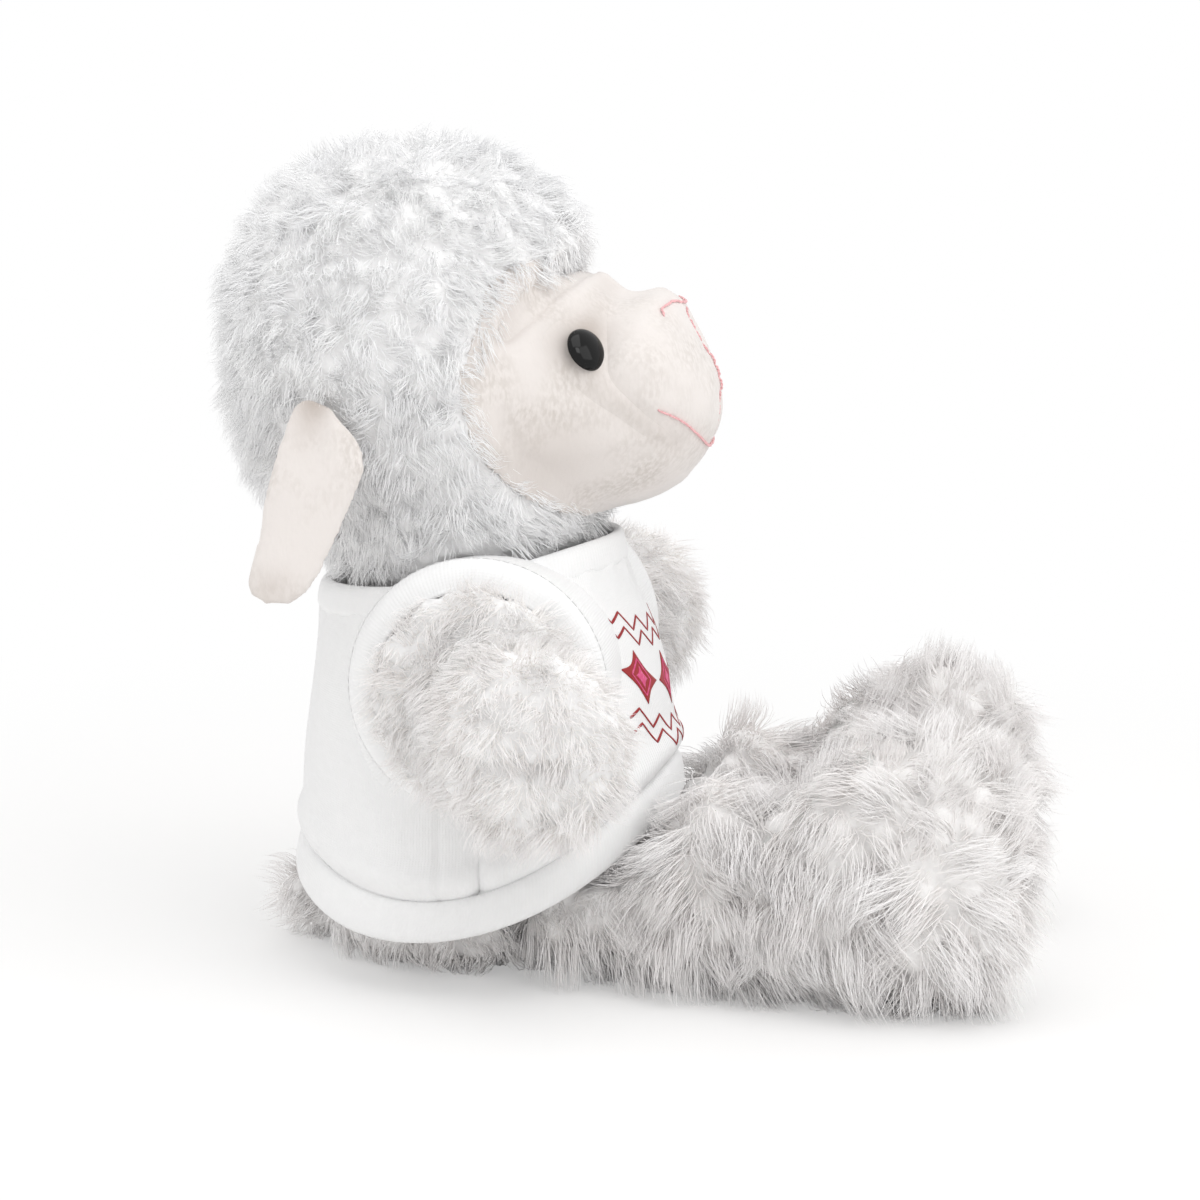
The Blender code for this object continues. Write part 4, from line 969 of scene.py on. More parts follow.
# Creases, the muzzle's swell, dimples and the groove between the lips.
bare_face = mesh_tree(face_mesh)
points, outward = points_of(face_mesh), normals_of(face_mesh)
creases = []
for side, sign in SIDES:
    line = smooth_line([seen_from(bare_face, (sign * 0.1, y, z), (-sign, 0, 0))[0]
                        for y, z in CREASE], 60)
    creases.append(line)
    fade = np.sin(np.linspace(0.35, math.pi - 0.5, 60))
    which, far = nearest_lock(points, line)
    sink = CREASE_DEPTH * bell(far, CREASE_WIDTH) * fade[which]
    middle = seen_from(bare_face, (sign * 0.1, *MUZZLE_SIDE), (-sign, 0, 0))[0]
    swell = MUZZLE_SWELL * bell(np.linalg.norm(points - middle, axis=1), 9 * MM)
    eye = centre_of(f"eye_{side}")
    dimple = DIMPLE * bell(np.linalg.norm(points - eye, axis=1), DIMPLE_REACH)
    points = points + outward * (swell - sink - dimple)[:, None]
level = points[:, 2] / MM
split = (1 - ramp(level, GROOVE_GAP[0], GROOVE_FADE)
         + ramp(level, GROOVE_GAP[1], GROOVE_FADE) * (level < GROOVE_ENDS[1]))
split = split * (level > GROOVE_ENDS[0]) * (points[:, 1] < 0)
points[:, 1] += LIP_GROOVE * split * bell(points[:, 0], 1.8 * MM)
place_points(face_mesh, points)
relax(face_mesh, 9)

# Painted shade: the nap is darkened in the creases, beside and round the eyes and on the cheeks.
cheeks = np.array([[sign * CHEEK[0], *CHEEK[1:]] for _, sign in SIDES])
eyes = np.array([centre_of(f"eye_{side}") for side, _ in SIDES])
shade_map(face_mesh, 0.22 * bell(near(points, np.concatenate(creases)), 3.4 * MM)
          + 0.45 * bell(near(points, np.array([line[20] for line in creases])), 5.5 * MM)
          + 0.35 * bell(near(points, cheeks), 13 * MM)
          + 0.55 * bell(near(points, eyes), 6.2 * MM))
show("face_velboa", face_mesh, velboa, "head", "cream_velboa", "face_cover")

# The head's skin goes under the face wherever it would stand above it.
face_surface = mesh_tree(face_mesh)
print("face places", len(face_mesh.vertices),
      "skin tucked under it", tuck_in(head_wool.data, face_surface, 2.0 * MM, 1.0))

# %% [markdown]
# Eyes. A safety eye is one moulding of black plastic: a low dome with a sharp rim, and a stem
# that goes through the cloth into a lock washer. The eyes in the frame have flat sides, so
# each is turned again here with a smooth profile of the frame's own measures. It leans out
# with the cheek and is seated on the finished face. The washers keep their shape and get a
# plain natural plastic.

# %% Eyes and washers
EYE_SIDES = 48
EYE_LEAN = (0.55, -0.68, 0.48)
EYE_FORWARD = 4.6 * MM
EYE_SUNK = 0.2 * MM


def gloss_finish():
    """Polished black plastic with the faintest waviness of a cheap moulding."""
    material, tree, shader = finish_of("polished_black", "#070707", 0.06)
    shader.inputs["IOR"].default_value = 1.34
    where = add(tree, "ShaderNodeTexCoord")
    wave = add(tree, "ShaderNodeTexNoise", {"Vector": where.outputs["Object"]},
               scale=per_metre(5.0), detail=1.0)
    rough = add(tree, "ShaderNodeMapRange", {0: wave.outputs["Fac"]})
    rough.inputs[3].default_value = 0.04
    rough.inputs[4].default_value = 0.13
    tree.links.new(rough.outputs[0], shader.inputs["Roughness"])
    return material


def natural_plastic():
    """Unpainted washer plastic, slightly mottled."""
    material, tree, shader = finish_of("natural_washer_plastic", "#e9e8e3", 0.45)
    where = add(tree, "ShaderNodeTexCoord")
    cloud = add(tree, "ShaderNodeTexNoise", {"Vector": where.outputs["Object"]},
                scale=per_metre(2.0), detail=2.0)
    mix = add(tree, "ShaderNodeMix", {0: cloud.outputs["Fac"]}, data_type="RGBA")
    mix.inputs[6].default_value = colour("#eeede8")
    mix.inputs[7].default_value = colour("#dedcd5")
    tree.links.new(mix.outputs[2], shader.inputs["Base Color"])
    return material


def turned(name, middle, axis, profile, sides):
    """A closed body turned about an axis, from pairs of height along it and radius."""
    axis = unit(np.asarray(axis, float))
    across = unit(np.cross(axis, (0, 0, 1)))
    upward = np.cross(across, axis)
    turn = np.arange(sides) * 2 * math.pi / sides
    circle = np.outer(np.cos(turn), across) + np.outer(np.sin(turn), upward)
    shape = bmesh.new()
    rings = []
    for height, radius in profile[1:-1]:
        rings.append([shape.verts.new(middle + height * axis + radius * c) for c in circle])
    ends = [shape.verts.new(middle + profile[k][0] * axis) for k in (0, -1)]
    for low, high in zip(rings, rings[1:]):
        for s in range(sides):
            t = (s + 1) % sides
            shape.faces.new((low[s], low[t], high[t], high[s]))
    for s in range(sides):
        t = (s + 1) % sides
        shape.faces.new((ends[0], rings[0][t], rings[0][s]))
        shape.faces.new((ends[1], rings[-1][s], rings[-1][t]))
    bmesh.ops.recalc_face_normals(shape, faces=shape.faces)
    return finished(name, shape)


gloss, washer_plastic = gloss_finish(), natural_plastic()
for side, sign in SIDES:
    eye = points_of(frame["nodes"][f"eye_{side}"].data)
    middle = centre_of(f"eye_washer_{side}")
    axis = unit(eye.mean(axis=0) - middle)
    along = (eye - middle) @ axis
    radial = np.linalg.norm(eye - middle - along[:, None] * axis, axis=1)
    back, top, radius = along.min(), along.max(), radial.max()
    rim = along[radial > 0.98 * radius].min()
    stem = radial[along < back + 0.1 * MM].max()
    dome = [(rim + (top - rim) * math.sin(t), radius * math.cos(t))
            for t in np.linspace(0, math.pi / 2, 14)]
    profile = ([(back, 0), (back, 0.8 * stem), (back + 0.3 * MM, stem), (rim - 0.35 * MM, stem),
                (rim - 0.35 * MM, 0.93 * radius), (rim - 0.15 * MM, 0.99 * radius)] + dome)
    lean = unit(np.array(EYE_LEAN) * (sign, 1, 1))
    spot = middle + rim * axis + np.array([0, -EYE_FORWARD, 0])
    seat = seen_from(face_surface, spot + 0.03 * lean, -lean)[0] - EYE_SUNK * lean
    dome_mesh = turned(f"eye_dome_{side}", seat - rim * lean, lean, profile, EYE_SIDES)
    show(f"eye_dome_{side}", dome_mesh, gloss, "head", "eye_plastic", f"eye_{side}")
    frame["nodes"][f"eye_washer_{side}"].material_slots[0].material = washer_plastic
    print("eye", side, [round(float(v) / MM, 2) for v in (back, rim, top, radius, stem)])

# %% [markdown]
# Stitches. The nose, lip and mouth are embroidered by hand in pale pink thread of two twisted
# plies. The thread goes in and out of the cloth, so each line is a row of short stitches
# whose ends dive under the nap. Places are read off the finished face, so a stitch follows
# its swell and its crease.

# %% Stitches
PLY = 0.30 * MM
PLY_TWIST = 1.7 * MM
STITCH = 3.2 * MM
STITCH_STEP = 0.3 * MM
STITCH_PROUD = 0.40 * MM
STITCH_DIVE = 0.55 * MM
NOSE_LINE = ((0.0138, 0.1572), (0.0118, 0.1590), (0.0065, 0.1600), (0.0, 0.1594),
             (-0.0065, 0.1600), (-0.0118, 0.1590), (-0.0138, 0.1572))
LIP_LINE = ((0.0, 0.1585), (0.0, 0.1500), (0.0, 0.1400), (0.0, 0.1262))
MOUTH_LINE = ((0.0240, 0.1362), (0.0215, 0.1345), (0.0185, 0.1322), (0.0150, 0.1300),
              (0.0110, 0.1280), (0.0058, 0.1262), (0.0, 0.1256), (-0.0058, 0.1262),
              (-0.0110, 0.1280), (-0.0150, 0.1300), (-0.0185, 0.1322), (-0.0215, 0.1345),
              (-0.0240, 0.1362))


def thread_finish():
    """Pale pink cotton, mottled lighter and darker in fine noise."""
    material, tree, shader = finish_of("pink_embroidery_thread", "#f0b4b6", 0.7, sheen=0.3)
    where = add(tree, "ShaderNodeTexCoord")
    fibres = add(tree, "ShaderNodeTexNoise", {"Vector": where.outputs["Object"]},
                 scale=per_metre(0.3), detail=2.0)
    mix = add(tree, "ShaderNodeMix", {0: fibres.outputs["Fac"]}, data_type="RGBA")
    mix.inputs[6].default_value = colour("#e6a3a8")
    mix.inputs[7].default_value = colour("#f7cccc")
    tree.links.new(mix.outputs[2], shader.inputs["Base Color"])
    return material


def tube(shape, path, radius, sides=6):
    """Adds a closed round tube along a path to a bmesh."""
    path = np.asarray(path)
    ahead = unit(np.gradient(path, axis=0))
    side = unit(np.cross(ahead, (0.3, 0.9, 0.31)))
    up = np.cross(side, ahead)
    turn = np.arange(sides) * 2 * math.pi / sides
    rings = [[shape.verts.new(p + radius * (math.cos(t) * s + math.sin(t) * u)) for t in turn]
             for p, s, u in zip(path, side, up)]
    for low, high in zip(rings, rings[1:]):
        for k in range(sides):
            j = (k + 1) % sides
            shape.faces.new((low[k], high[k], high[j], low[j]))
    shape.faces.new(rings[0])
    shape.faces.new(rings[-1][::-1])


def neighbourly(values, rounds=6):
    """Values along a line, each softened towards the ones beside it."""
    for _ in range(rounds):
        padded = np.concatenate([values[:1], values, values[-1:]])
        values = (padded[:-2] + 2 * padded[1:-1] + padded[2:]) / 4
    return values


def sewn(name, line, *nodes):
    """A row of twisted stitches along a line given as side and height on the face."""
    shape = bmesh.new()
    count = int(sum(math.dist(a, b) for a, b in zip(line, line[1:])) / STITCH_STEP) + 8
    found = [seen_from(face_surface, (x, -0.08, z), (0, 1, 0)) for x, z in smooth_line(line, count)]
    path = np.array([f[0] for f in found])
    outward = unit(neighbourly(np.array([f[1] for f in found])))
    far = length_along(path)
    number = max(1, round(far[-1] / STITCH))
    share = (far / far[-1] * number) % 1.0
    dive = STITCH_DIVE * (1 - np.clip(np.minimum(share, 1 - share) * 6, 0, 1))
    path = path + outward * (STITCH_PROUD - dive)[:, None]
    across = unit(np.cross(np.gradient(path, axis=0), outward))
    turn = 2 * math.pi * far / PLY_TWIST
    for start in (0.0, math.pi):
        wind = np.cos(turn + start)[:, None] * across + np.sin(turn + start)[:, None] * outward
        tube(shape, path + 0.55 * PLY * wind, 0.62 * PLY)
    bmesh.ops.recalc_face_normals(shape, faces=shape.faces)
    show(name, finished(name, shape), thread, "head", "pink_thread", *nodes)


thread = thread_finish()
sewn("nose_stitches", NOSE_LINE, "nose_stitching")
sewn("lip_stitches", LIP_LINE, "lip_stitching")
sewn("mouth_stitches", MOUTH_LINE, "mouth_stitching")

# %% [markdown]
# Ears. Each ear is two panels of velboa sewn face to face and turned, with no filling, so it
# hangs like a thick leaf. A seam runs round its edge. At the root it is folded in half before
# it is sewn in, which leaves a hollow that catches the shade. The outline is a table: a share
# of the way from root to tip, then how many millimetres the ear reaches ahead and back there.

# %% Ears
EAR_FOLD = 2.0 * MM
EAR_HOLLOW = 0.45
EAR_CURL = 7.5 * MM
EAR_CURL_FROM = 0.55
EAR_TIP = 0.955
EAR_BLUNT = 0.65
EAR_SHAPE = ((0, 4.4, 4.2), (0.03, 5.8, 4.8), (0.08, 9.5, 5.0), (0.15, 13.2, 5.2),
             (0.24, 14.8, 5.6), (0.37, 14.0, 6.0), (0.5, 12.9, 6.3), (0.66, 11.4, 5.4),
             (0.8, 10.0, 5.8), (0.9, 8.0, 5.8), (0.96, 5.2, 4.4), (1.0, 1.2, 1.0))


def reach_along(along, wide, steps=26):
    """How far an outline reaches to one side, for shares of the way along it."""
    slots = np.clip((along * steps).astype(int), 0, steps - 1)
    reach = np.array([wide[slots == s].max() if (slots == s).any() else 0.0
                      for s in range(steps)])
    return lambda at: np.interp(at, (np.arange(steps) + 0.5) / steps, reach)


for side, sign in SIDES:
    nodes = [f"ear_{side}_outer", f"ear_{side}_inner"]
    mesh = melted(f"ear_velboa_{side}", nodes, 0.75 * MM, 30)
    points, outward = points_of(mesh), normals_of(mesh)
    root = points[points[:, 2] > points[:, 2].max() - 2 * MM].mean(axis=0)
    tip = points[points[:, 2] < points[:, 2].min() + 2 * MM].mean(axis=0)
    down = unit(tip - root)
    length = np.linalg.norm(tip - root)
    across = unit(np.cross(down, (sign, 0, 0)))
    out = unit(np.cross(across, down))
    out = out * sign * np.sign(out[0])
    ahead = across * -np.sign(across[1])
    along = (points - root) @ down / length
    wide = (points - root) @ ahead
    at, front, rear = np.array(EAR_SHAPE).T
    spread = np.linspace(0, 1, 60)
    for way, knots in ((1, front), (-1, rear)):
        part = way * wide > 0
        now = reach_along(along, way * wide)(along[part])
        soft = neighbourly(np.interp(spread, at, knots), 3)
        then = np.interp(along[part], spread, soft) * MM
        wide[part] *= then / np.maximum(now, 2.5 * MM)
    points = points + ahead * (wide - (points - root) @ ahead)[:, None]
    points = points - down * (np.clip(along - EAR_TIP, 0, None) * length * EAR_BLUNT)[:, None]
    hollow = np.clip(1 - along / EAR_HOLLOW, 0, 1) ** 1.5
    fold = -EAR_FOLD * hollow * (1 - np.clip(np.abs(wide) / (5.5 * MM), 0, 1) ** 2)
    curl = EAR_CURL * np.clip(along - EAR_CURL_FROM, 0, 1) ** 2
    points = points + out * (fold + curl)[:, None]
    place_points(mesh, points)
    relax(mesh, 2)
    # Painted shade: darker near the tip on its outer face and in the hollow at the root; the rim is
    # a little darker too.
    facing = outward @ out
    ring = np.clip(1 - np.abs(facing) * 2.2, 0, 1)
    tip_shade = 0.45 * bell(np.linalg.norm(points - tip + 4 * MM * down, axis=1), 5 * MM)
    shade_map(mesh, 0.16 * ring + tip_shade * (facing > 0) + 0.9 * hollow ** 2
              * bell(wide, 4.5 * MM))
    show(f"ear_{side}", mesh, velboa, f"ear_{side}", "cream_velboa", *nodes)

# %% [markdown]
# Tee. A child's-size tee for a toy is cut as a front and a back from white cotton jersey, with
# short sleeves, a rib round the neck and a wide folded hem. The frame's tee has flat sides, so
# its outline is fitted again here as a smooth shape: at each height an ellipse through what a
# ring of rays meets, and along the edges a few harmonics of the turn round the body. All the
# cloth is then drawn on that shape, with its folds added along the outward direction.

# %% Tee outline
SHOULDER = np.array(JOINTS["arm_left_swing"]["pos_m"])
CLOTH = 0.7 * MM
HEM_WIDE = 9.0 * MM
NECK_WIDE = 6.5 * MM
SEAM_TURN = math.asin(0.10)
RING_START = 0.12
RING_REACH = 0.10
FIT_LEVELS = (24 * MM, 98 * MM)
TRUSTED = (14, 103)
EDGE_SLOTS = 20
shell_tree = tree_of("tee_front", "tee_back", "tee_hem_band", "tee_neckband")


def ellipse_at(height):
    """Half width, half depth and middle of the tee at a height, from a ring of rays."""
    rows = []
    for turn in np.linspace(0, 2 * math.pi, 72, endpoint=False):
        out = np.array([math.cos(turn), math.sin(turn), 0.0])
        start = np.array([0, SHOULDER[1] + 6 * MM, height]) + RING_START * out
        place = shell_tree.ray_cast(Vector(start), Vector(-out))[0]
        if place is not None and (np.array(place) - start) @ -out < RING_REACH:
            rows.append((place[0] ** 2, place[1] ** 2, place[1]))
    rows = np.array(rows) / MM ** np.array([2, 2, 1])
    a, b, c = np.linalg.lstsq(rows, np.ones(len(rows)), rcond=None)[0]
    middle = -c / (2 * b)
    level = 1 + b * middle ** 2
    return math.sqrt(level / a) * MM, math.sqrt(level / b) * MM, middle * MM


heights = np.linspace(*FIT_LEVELS, 26)
outline = [np.polyfit(heights / MM, [ellipse_at(h)[k] / MM for h in heights], 5)
           for k in range(3)]


def tee_ellipse(height):
    """The fitted half width, half depth and middle, for one height or many."""
    level = np.clip(np.asarray(height) / MM, *TRUSTED)
    return [np.polyval(fit, level) * MM for fit in outline]


def on_tee(turn, height, out=0.0):
    """A place on the tee. The turn is 0 at the sheep's left and a quarter at its front."""
    half, deep, middle = tee_ellipse(height)
    return np.stack([(half + out) * np.cos(turn), middle - (deep + out) * np.sin(turn),
                     np.broadcast_to(height, np.shape(turn))], axis=-1)


def harmonics(turn):
    """The few waves round the body that an edge's height is written in."""
    front = np.asarray(turn) - math.pi / 2
    return np.stack([np.cos(k * front) for k in range(6)], axis=-1)


def edge_of(name, highest):
    """The fitted height of a band's upper or lower edge, as a function of the turn."""
    points = points_of(frame["nodes"][name].data)
    half, deep, middle = tee_ellipse(points[:, 2])
    turns = np.arctan2((middle - points[:, 1]) / deep, points[:, 0] / half)
    slots = np.round(turns / (2 * math.pi / EDGE_SLOTS)).astype(int) % EDGE_SLOTS
    pick = np.max if highest else np.min
    rows = [(turns[slots == s].mean() if s != EDGE_SLOTS // 2 else math.pi,
             pick(points[slots == s, 2])) for s in range(EDGE_SLOTS) if (slots == s).any()]
    turns, levels = np.array(rows).T
    fit = np.linalg.lstsq(harmonics(turns), levels, rcond=None)[0]
    return lambda turn: harmonics(turn) @ fit


hem_edge = edge_of("tee_hem_band", False)
neck_edge = edge_of("tee_neckband", True)
print("hem", [round(float(hem_edge(t)) / MM, 1) for t in (0, math.pi / 2, math.pi, -math.pi / 2)],
      "neck", [round(float(neck_edge(t)) / MM, 1) for t in (0, math.pi / 2, -math.pi / 2)])

# %% [markdown]
# Cloth. Jersey is knitted, so it has fine upright wales and no weave: a ripple in the normal
# along each panel, about 0.7 mm apart, and the faintest mottling. The rib of the neck and the
# hem is the same yarn with deeper wales. White cotton stays just under white, so that its
# folds can be seen.

# %% Jersey and rib
WALE_MM = 0.7


def jersey_finish(name, base, shade, wale_mm, depth_mm):
    """Knitted cotton: wales along v of the piece's own map, which is kept in metres."""
    material, tree, shader = finish_of(name, base, 0.88, sheen=0.15)
    where = add(tree, "ShaderNodeUVMap", uv_map="OFBake")
    parts = add(tree, "ShaderNodeSeparateXYZ", {0: where.outputs[0]})
    wale = add(tree, "ShaderNodeMath", {0: parts.outputs["X"]}, operation="MULTIPLY")
    wale.inputs[1].default_value = 2 * math.pi * per_metre(wale_mm)
    course = add(tree, "ShaderNodeMath", {0: parts.outputs["Y"]}, operation="MULTIPLY")
    course.inputs[1].default_value = 2 * math.pi * per_metre(wale_mm * 0.8)
    across = add(tree, "ShaderNodeMath", {0: wale.outputs[0]}, operation="SINE")
    along = add(tree, "ShaderNodeMath", {0: course.outputs[0]}, operation="SINE")
    faint = add(tree, "ShaderNodeMath", {0: along.outputs[0]}, operation="MULTIPLY")
    faint.inputs[1].default_value = 0.35
    knit = add(tree, "ShaderNodeMath", {0: across.outputs[0], 1: faint.outputs[0]},
               operation="ADD")
    cloud = add(tree, "ShaderNodeTexNoise", {"Vector": where.outputs[0]},
                scale=per_metre(3.0), detail=3.0)
    colours = add(tree, "ShaderNodeMix", {0: cloud.outputs["Fac"]}, data_type="RGBA")
    colours.inputs[6].default_value = colour(base)
    colours.inputs[7].default_value = colour(shade)
    tree.links.new(colours.outputs[2], shader.inputs["Base Color"])
    bump = add(tree, "ShaderNodeBump", {"Height": knit.outputs[0]}, strength=0.5,
               distance=depth_mm * MM)
    tree.links.new(bump.outputs[0], shader.inputs["Normal"])
    return material


jersey = jersey_finish("white_jersey", "#f6f6f6", "#f1f1f1", WALE_MM, 0.06)
rib = jersey_finish("white_rib", "#f7f7f7", "#f1f1f1", 0.9, 0.05)

# %% [markdown]
# Folds. The wide hem is stiffer than the cloth above it, so a crease runs round just over the
# hem with a slack roll above the crease, and the side seam on the right pinches the roll.
# Under each arm the cloth hangs in soft folds that spread towards the hem, and round the neck
# it is gathered slightly by the rib. Each of those folds is a turn away from the arm, a
# spread and a height in millimetres. A sheet's area is what was cut, taken as half of the
# closed cloth's surface.

# %% Front and back panels
FANS = ((0.0, 0.20, 1.0), (-0.42, 0.17, 0.8), (0.52, 0.13, 0.5), (-0.95, 0.20, 0.6),
        (1.15, 0.16, 0.35))
FAN_HEIGHT = 46


def folds(turn, height):
    """How far the cloth stands off its fitted shape."""
    over = (height - hem_edge(turn) - HEM_WIDE) / MM
    under = (neck_edge(turn) - NECK_WIDE - height) / MM
    crease = -1.5 * bell(over - 0.6, 1.4) + 1.6 * bell(over - 5.5, 3.4)
    gather = 0.35 * np.cos(23 * turn + 0.8 * np.sin(3 * turn)) * bell(under, 5.0)
    drop = np.clip(1 - over / FAN_HEIGHT, 0, 1)
    fans = 0.0
    for middle, spread, size in FANS:
        for far_side in (0, 1):
            centre = far_side * math.pi + (1 - 2 * far_side) * (middle * (0.55 + 0.45 * drop))
            away_from = np.angle(np.exp(1j * (turn - centre)))
            fans = fans + size * bell(away_from, spread) * drop ** 0.6
    slack = 0.30 * np.sin(5 * turn + 0.9 + 90 * height) + 0.22 * np.sin(9 * turn - 140 * height)
    calm = 1 - np.exp(-np.abs(over) / 6)
    seam = -0.5 * bell(np.abs(np.cos(turn)) - math.cos(SEAM_TURN), 0.0016)
    beside = np.angle(np.exp(1j * (turn - math.pi + SEAM_TURN)))
    pinch = -1.5 * bell(beside, 0.035) * bell(over - 3.5, 5.0)
    return (crease + gather + (fans + slack) * calm + seam + pinch) * MM


def closed_cloth(outer, thick, closed):
    """A grid of places as cloth of a real thickness, with its flat map in metres."""
    rows, columns = outer.shape[:2]
    across = np.roll(outer, -1, 1) - np.roll(outer, 1, 1) if closed else np.gradient(outer, axis=1)
    normal = unit(np.cross(across, np.gradient(outer, axis=0)))
    grids = [outer, outer - thick * normal]
    wide = np.linalg.norm(np.diff(outer, axis=1, append=outer[:, :1]), axis=-1).mean(axis=0)
    high = np.linalg.norm(np.diff(outer, axis=0), axis=-1).mean(axis=1)
    u = np.concatenate([[0], np.cumsum(wide)])
    v = np.concatenate([[0], np.cumsum(high)])
    shape = bmesh.new()
    flat = shape.loops.layers.uv.new("OFBake")
    sheets = [[[shape.verts.new(p) for p in line] for line in grid] for grid in grids]

    def face(corners, places):
        for loop, place in zip(shape.faces.new(corners).loops, places):
            loop[flat].uv = place

    spans = columns if closed else columns - 1
    for layer, grid in enumerate(sheets):
        for r in range(rows - 1):
            for c in range(spans):
                d = (c + 1) % columns
                ring = [(r, c), (r, d), (r + 1, d), (r + 1, c)]
                map_ring = [(u[c], v[r]), (u[c + 1], v[r]), (u[c + 1], v[r + 1]), (u[c], v[r + 1])]
                if layer:
                    ring, map_ring = ring[::-1], map_ring[::-1]
                face([grid[i][j] for i, j in ring], map_ring)
    out, back = sheets
    for r in (0, rows - 1):
        for c in range(spans):
            d = (c + 1) % columns
            ring = [out[r][c], back[r][c], back[r][d], out[r][d]]
            face(ring if r == 0 else ring[::-1],
                 [(u[c], v[r]), (u[c], v[r]), (u[c + 1], v[r]), (u[c + 1], v[r])])
    if not closed:
        for c in (0, columns - 1):
            for r in range(rows - 1):
                ring = [out[r][c], out[r + 1][c], back[r + 1][c], back[r][c]]
                face(ring if c == 0 else ring[::-1],
                     [(u[c], v[r]), (u[c], v[r + 1]), (u[c], v[r + 1]), (u[c], v[r])])
    bmesh.ops.recalc_face_normals(shape, faces=shape.faces)
    return shape, (u[-2] if not closed else u[-1], v[-1])


def cut_hole(shape, radius, step):
    """Cuts the arm holes: edges near a circle move onto it, what is inside goes, and the cut
    edge is closed between the cloth's two faces."""
    shape.verts.ensure_lookup_table()
    half = len(shape.verts) // 2
    pairs = {shape.verts[k]: shape.verts[k + half] for k in range(half)}
    doomed = []
    for front, back in pairs.items():
        away_from = np.array(front.co)[1:] - SHOULDER[1:]
        far = np.linalg.norm(away_from)
        if abs(front.co.x) < HOLE_FROM:
            continue
        if abs(far - radius) < step:
            for vert in (front, back):
                vert.co.y, vert.co.z = SHOULDER[1:] + away_from / far * radius
        elif far < radius:
            doomed += [front, back]
    bmesh.ops.delete(shape, geom=doomed, context="VERTS")
    for edge in [e for e in shape.edges if len(e.link_faces) == 1]:
        a, b = edge.verts
        if a in pairs and b in pairs and not shape.faces.get((a, b, pairs[b], pairs[a])):
            shape.faces.new((a, b, pairs[b], pairs[a]))
    bmesh.ops.delete(shape, geom=[v for v in shape.verts if not v.link_faces],
                     context="VERTS")


def cloth_piece(name, shape, flat, material, slot, node):
    """A finished cloth as a piece of the torso, with what its sheet measures and lies on."""
    area = sum(face.calc_area() for face in shape.faces) / 2
    piece = show(name, finished(name, shape), material, "torso", slot, node)
    print(name, "flat mm", [round(f / MM) for f in flat], "area mm2", round(area / MM ** 2))


PANEL_ROWS, PANEL_COLUMNS = 74, 150
HOLE = 26.6 * MM
HOLE_SNAP = 0.6 * MM
HOLE_FROM = 14.0 * MM
LAP = 0.8 * MM
SEAM_GAP = 0.002
share = np.linspace(0, 1, PANEL_ROWS)[:, None]
for name, start, end in (("tee_front", SEAM_TURN, math.pi - SEAM_TURN),
                         ("tee_back", math.pi - SEAM_TURN, 2 * math.pi + SEAM_TURN)):
    turn = np.linspace(start + SEAM_GAP, end - SEAM_GAP, PANEL_COLUMNS)[None, :]
    low = hem_edge(turn) + HEM_WIDE - LAP
    high = neck_edge(turn) - NECK_WIDE + LAP
    height = low + share * (high - low)
    turn = np.broadcast_to(turn, height.shape)
    shape, flat = closed_cloth(on_tee(turn, height, folds(turn, height)), CLOTH, False)
    cut_hole(shape, HOLE, HOLE_SNAP)
    bmesh.ops.recalc_face_normals(shape, faces=shape.faces)
    cloth_piece(f"{name}_cloth", shape, flat, jersey, "cotton_jersey",
                name)

# %% [markdown]
# Hem and neck. The hem is folded to the inside and sewn, so it is twice as thick, stands a
# little proud and rolls over at its lower edge. Two rows of fine stitches hold it. The neck
# rib is a narrow folded band that stands up against the wool.

# %% Hem band, neck rib and their stitches
BAND_PROFILE = ((0.10, -1.6), (0.0, -0.9), (0.0, -0.1), (0.06, 0.6), (0.2, 1.0), (0.5, 1.12),
                (0.8, 0.95), (0.93, 0.55), (1.0, -0.1), (0.97, -1.0), (0.9, -1.6))
BAND_THICK = 0.45 * MM
THREAD_PITCH = 2.3 * MM
THREAD_RADIUS = 0.14 * MM


def band(name, edge, wide, proud, roll, sides, node):
    """A folded band: its face swells between its edges and returns inside at both."""
    turn = np.linspace(0, 2 * math.pi, sides, endpoint=False)[None, :]
    path = smooth_line(BAND_PROFILE, 26)
    height = edge(turn) + path[:, :1] * wide
    out = path[:, 1:] * proud
    out = out + roll * np.sin(3 * turn + 0.6) * np.sin(math.pi * np.clip(path[:, :1], 0, 1))
    grid = on_tee(np.broadcast_to(turn, height.shape), height, out)
    shape, flat = closed_cloth(grid, BAND_THICK, True)
    cloth_piece(name, shape, flat, rib, "rib_band", node)


def run_of_stitches(name, places, outward):
    """Short thread stitches end to end along a line, each diving into the cloth at its ends."""
    far = length_along(places)
    number = max(2, int(far[-1] / THREAD_PITCH))
    shape = bmesh.new()
    rise = (-0.10, 0.10, 0.14, 0.10, -0.10)
    for k in range(number):
        at = (k + np.array([0.06, 0.22, 0.5, 0.78, 0.94])) * far[-1] / number
        line = np.stack([np.interp(at, far, places[:, j]) for j in range(3)], axis=1)
        out = np.stack([np.interp(at, far, outward[:, j]) for j in range(3)], axis=1)
        tube(shape, line + out * (np.array(rise) * MM)[:, None], THREAD_RADIUS, sides=4)
    bmesh.ops.recalc_face_normals(shape, faces=shape.faces)
    mesh = finished(name, shape)
    mesh.uv_layers.new(name="OFBake")
    show(name, mesh, white_thread, "torso", "rib_band")


def around(height_of, out, steps=400):
    """A line round the tee at a height that depends on the turn, and its outward directions."""
    turn = np.linspace(0, 2 * math.pi, steps)
    places = on_tee(turn, height_of(turn), out)
    beyond = on_tee(turn, height_of(turn), out + 1 * MM)
    return places, unit(beyond - places)


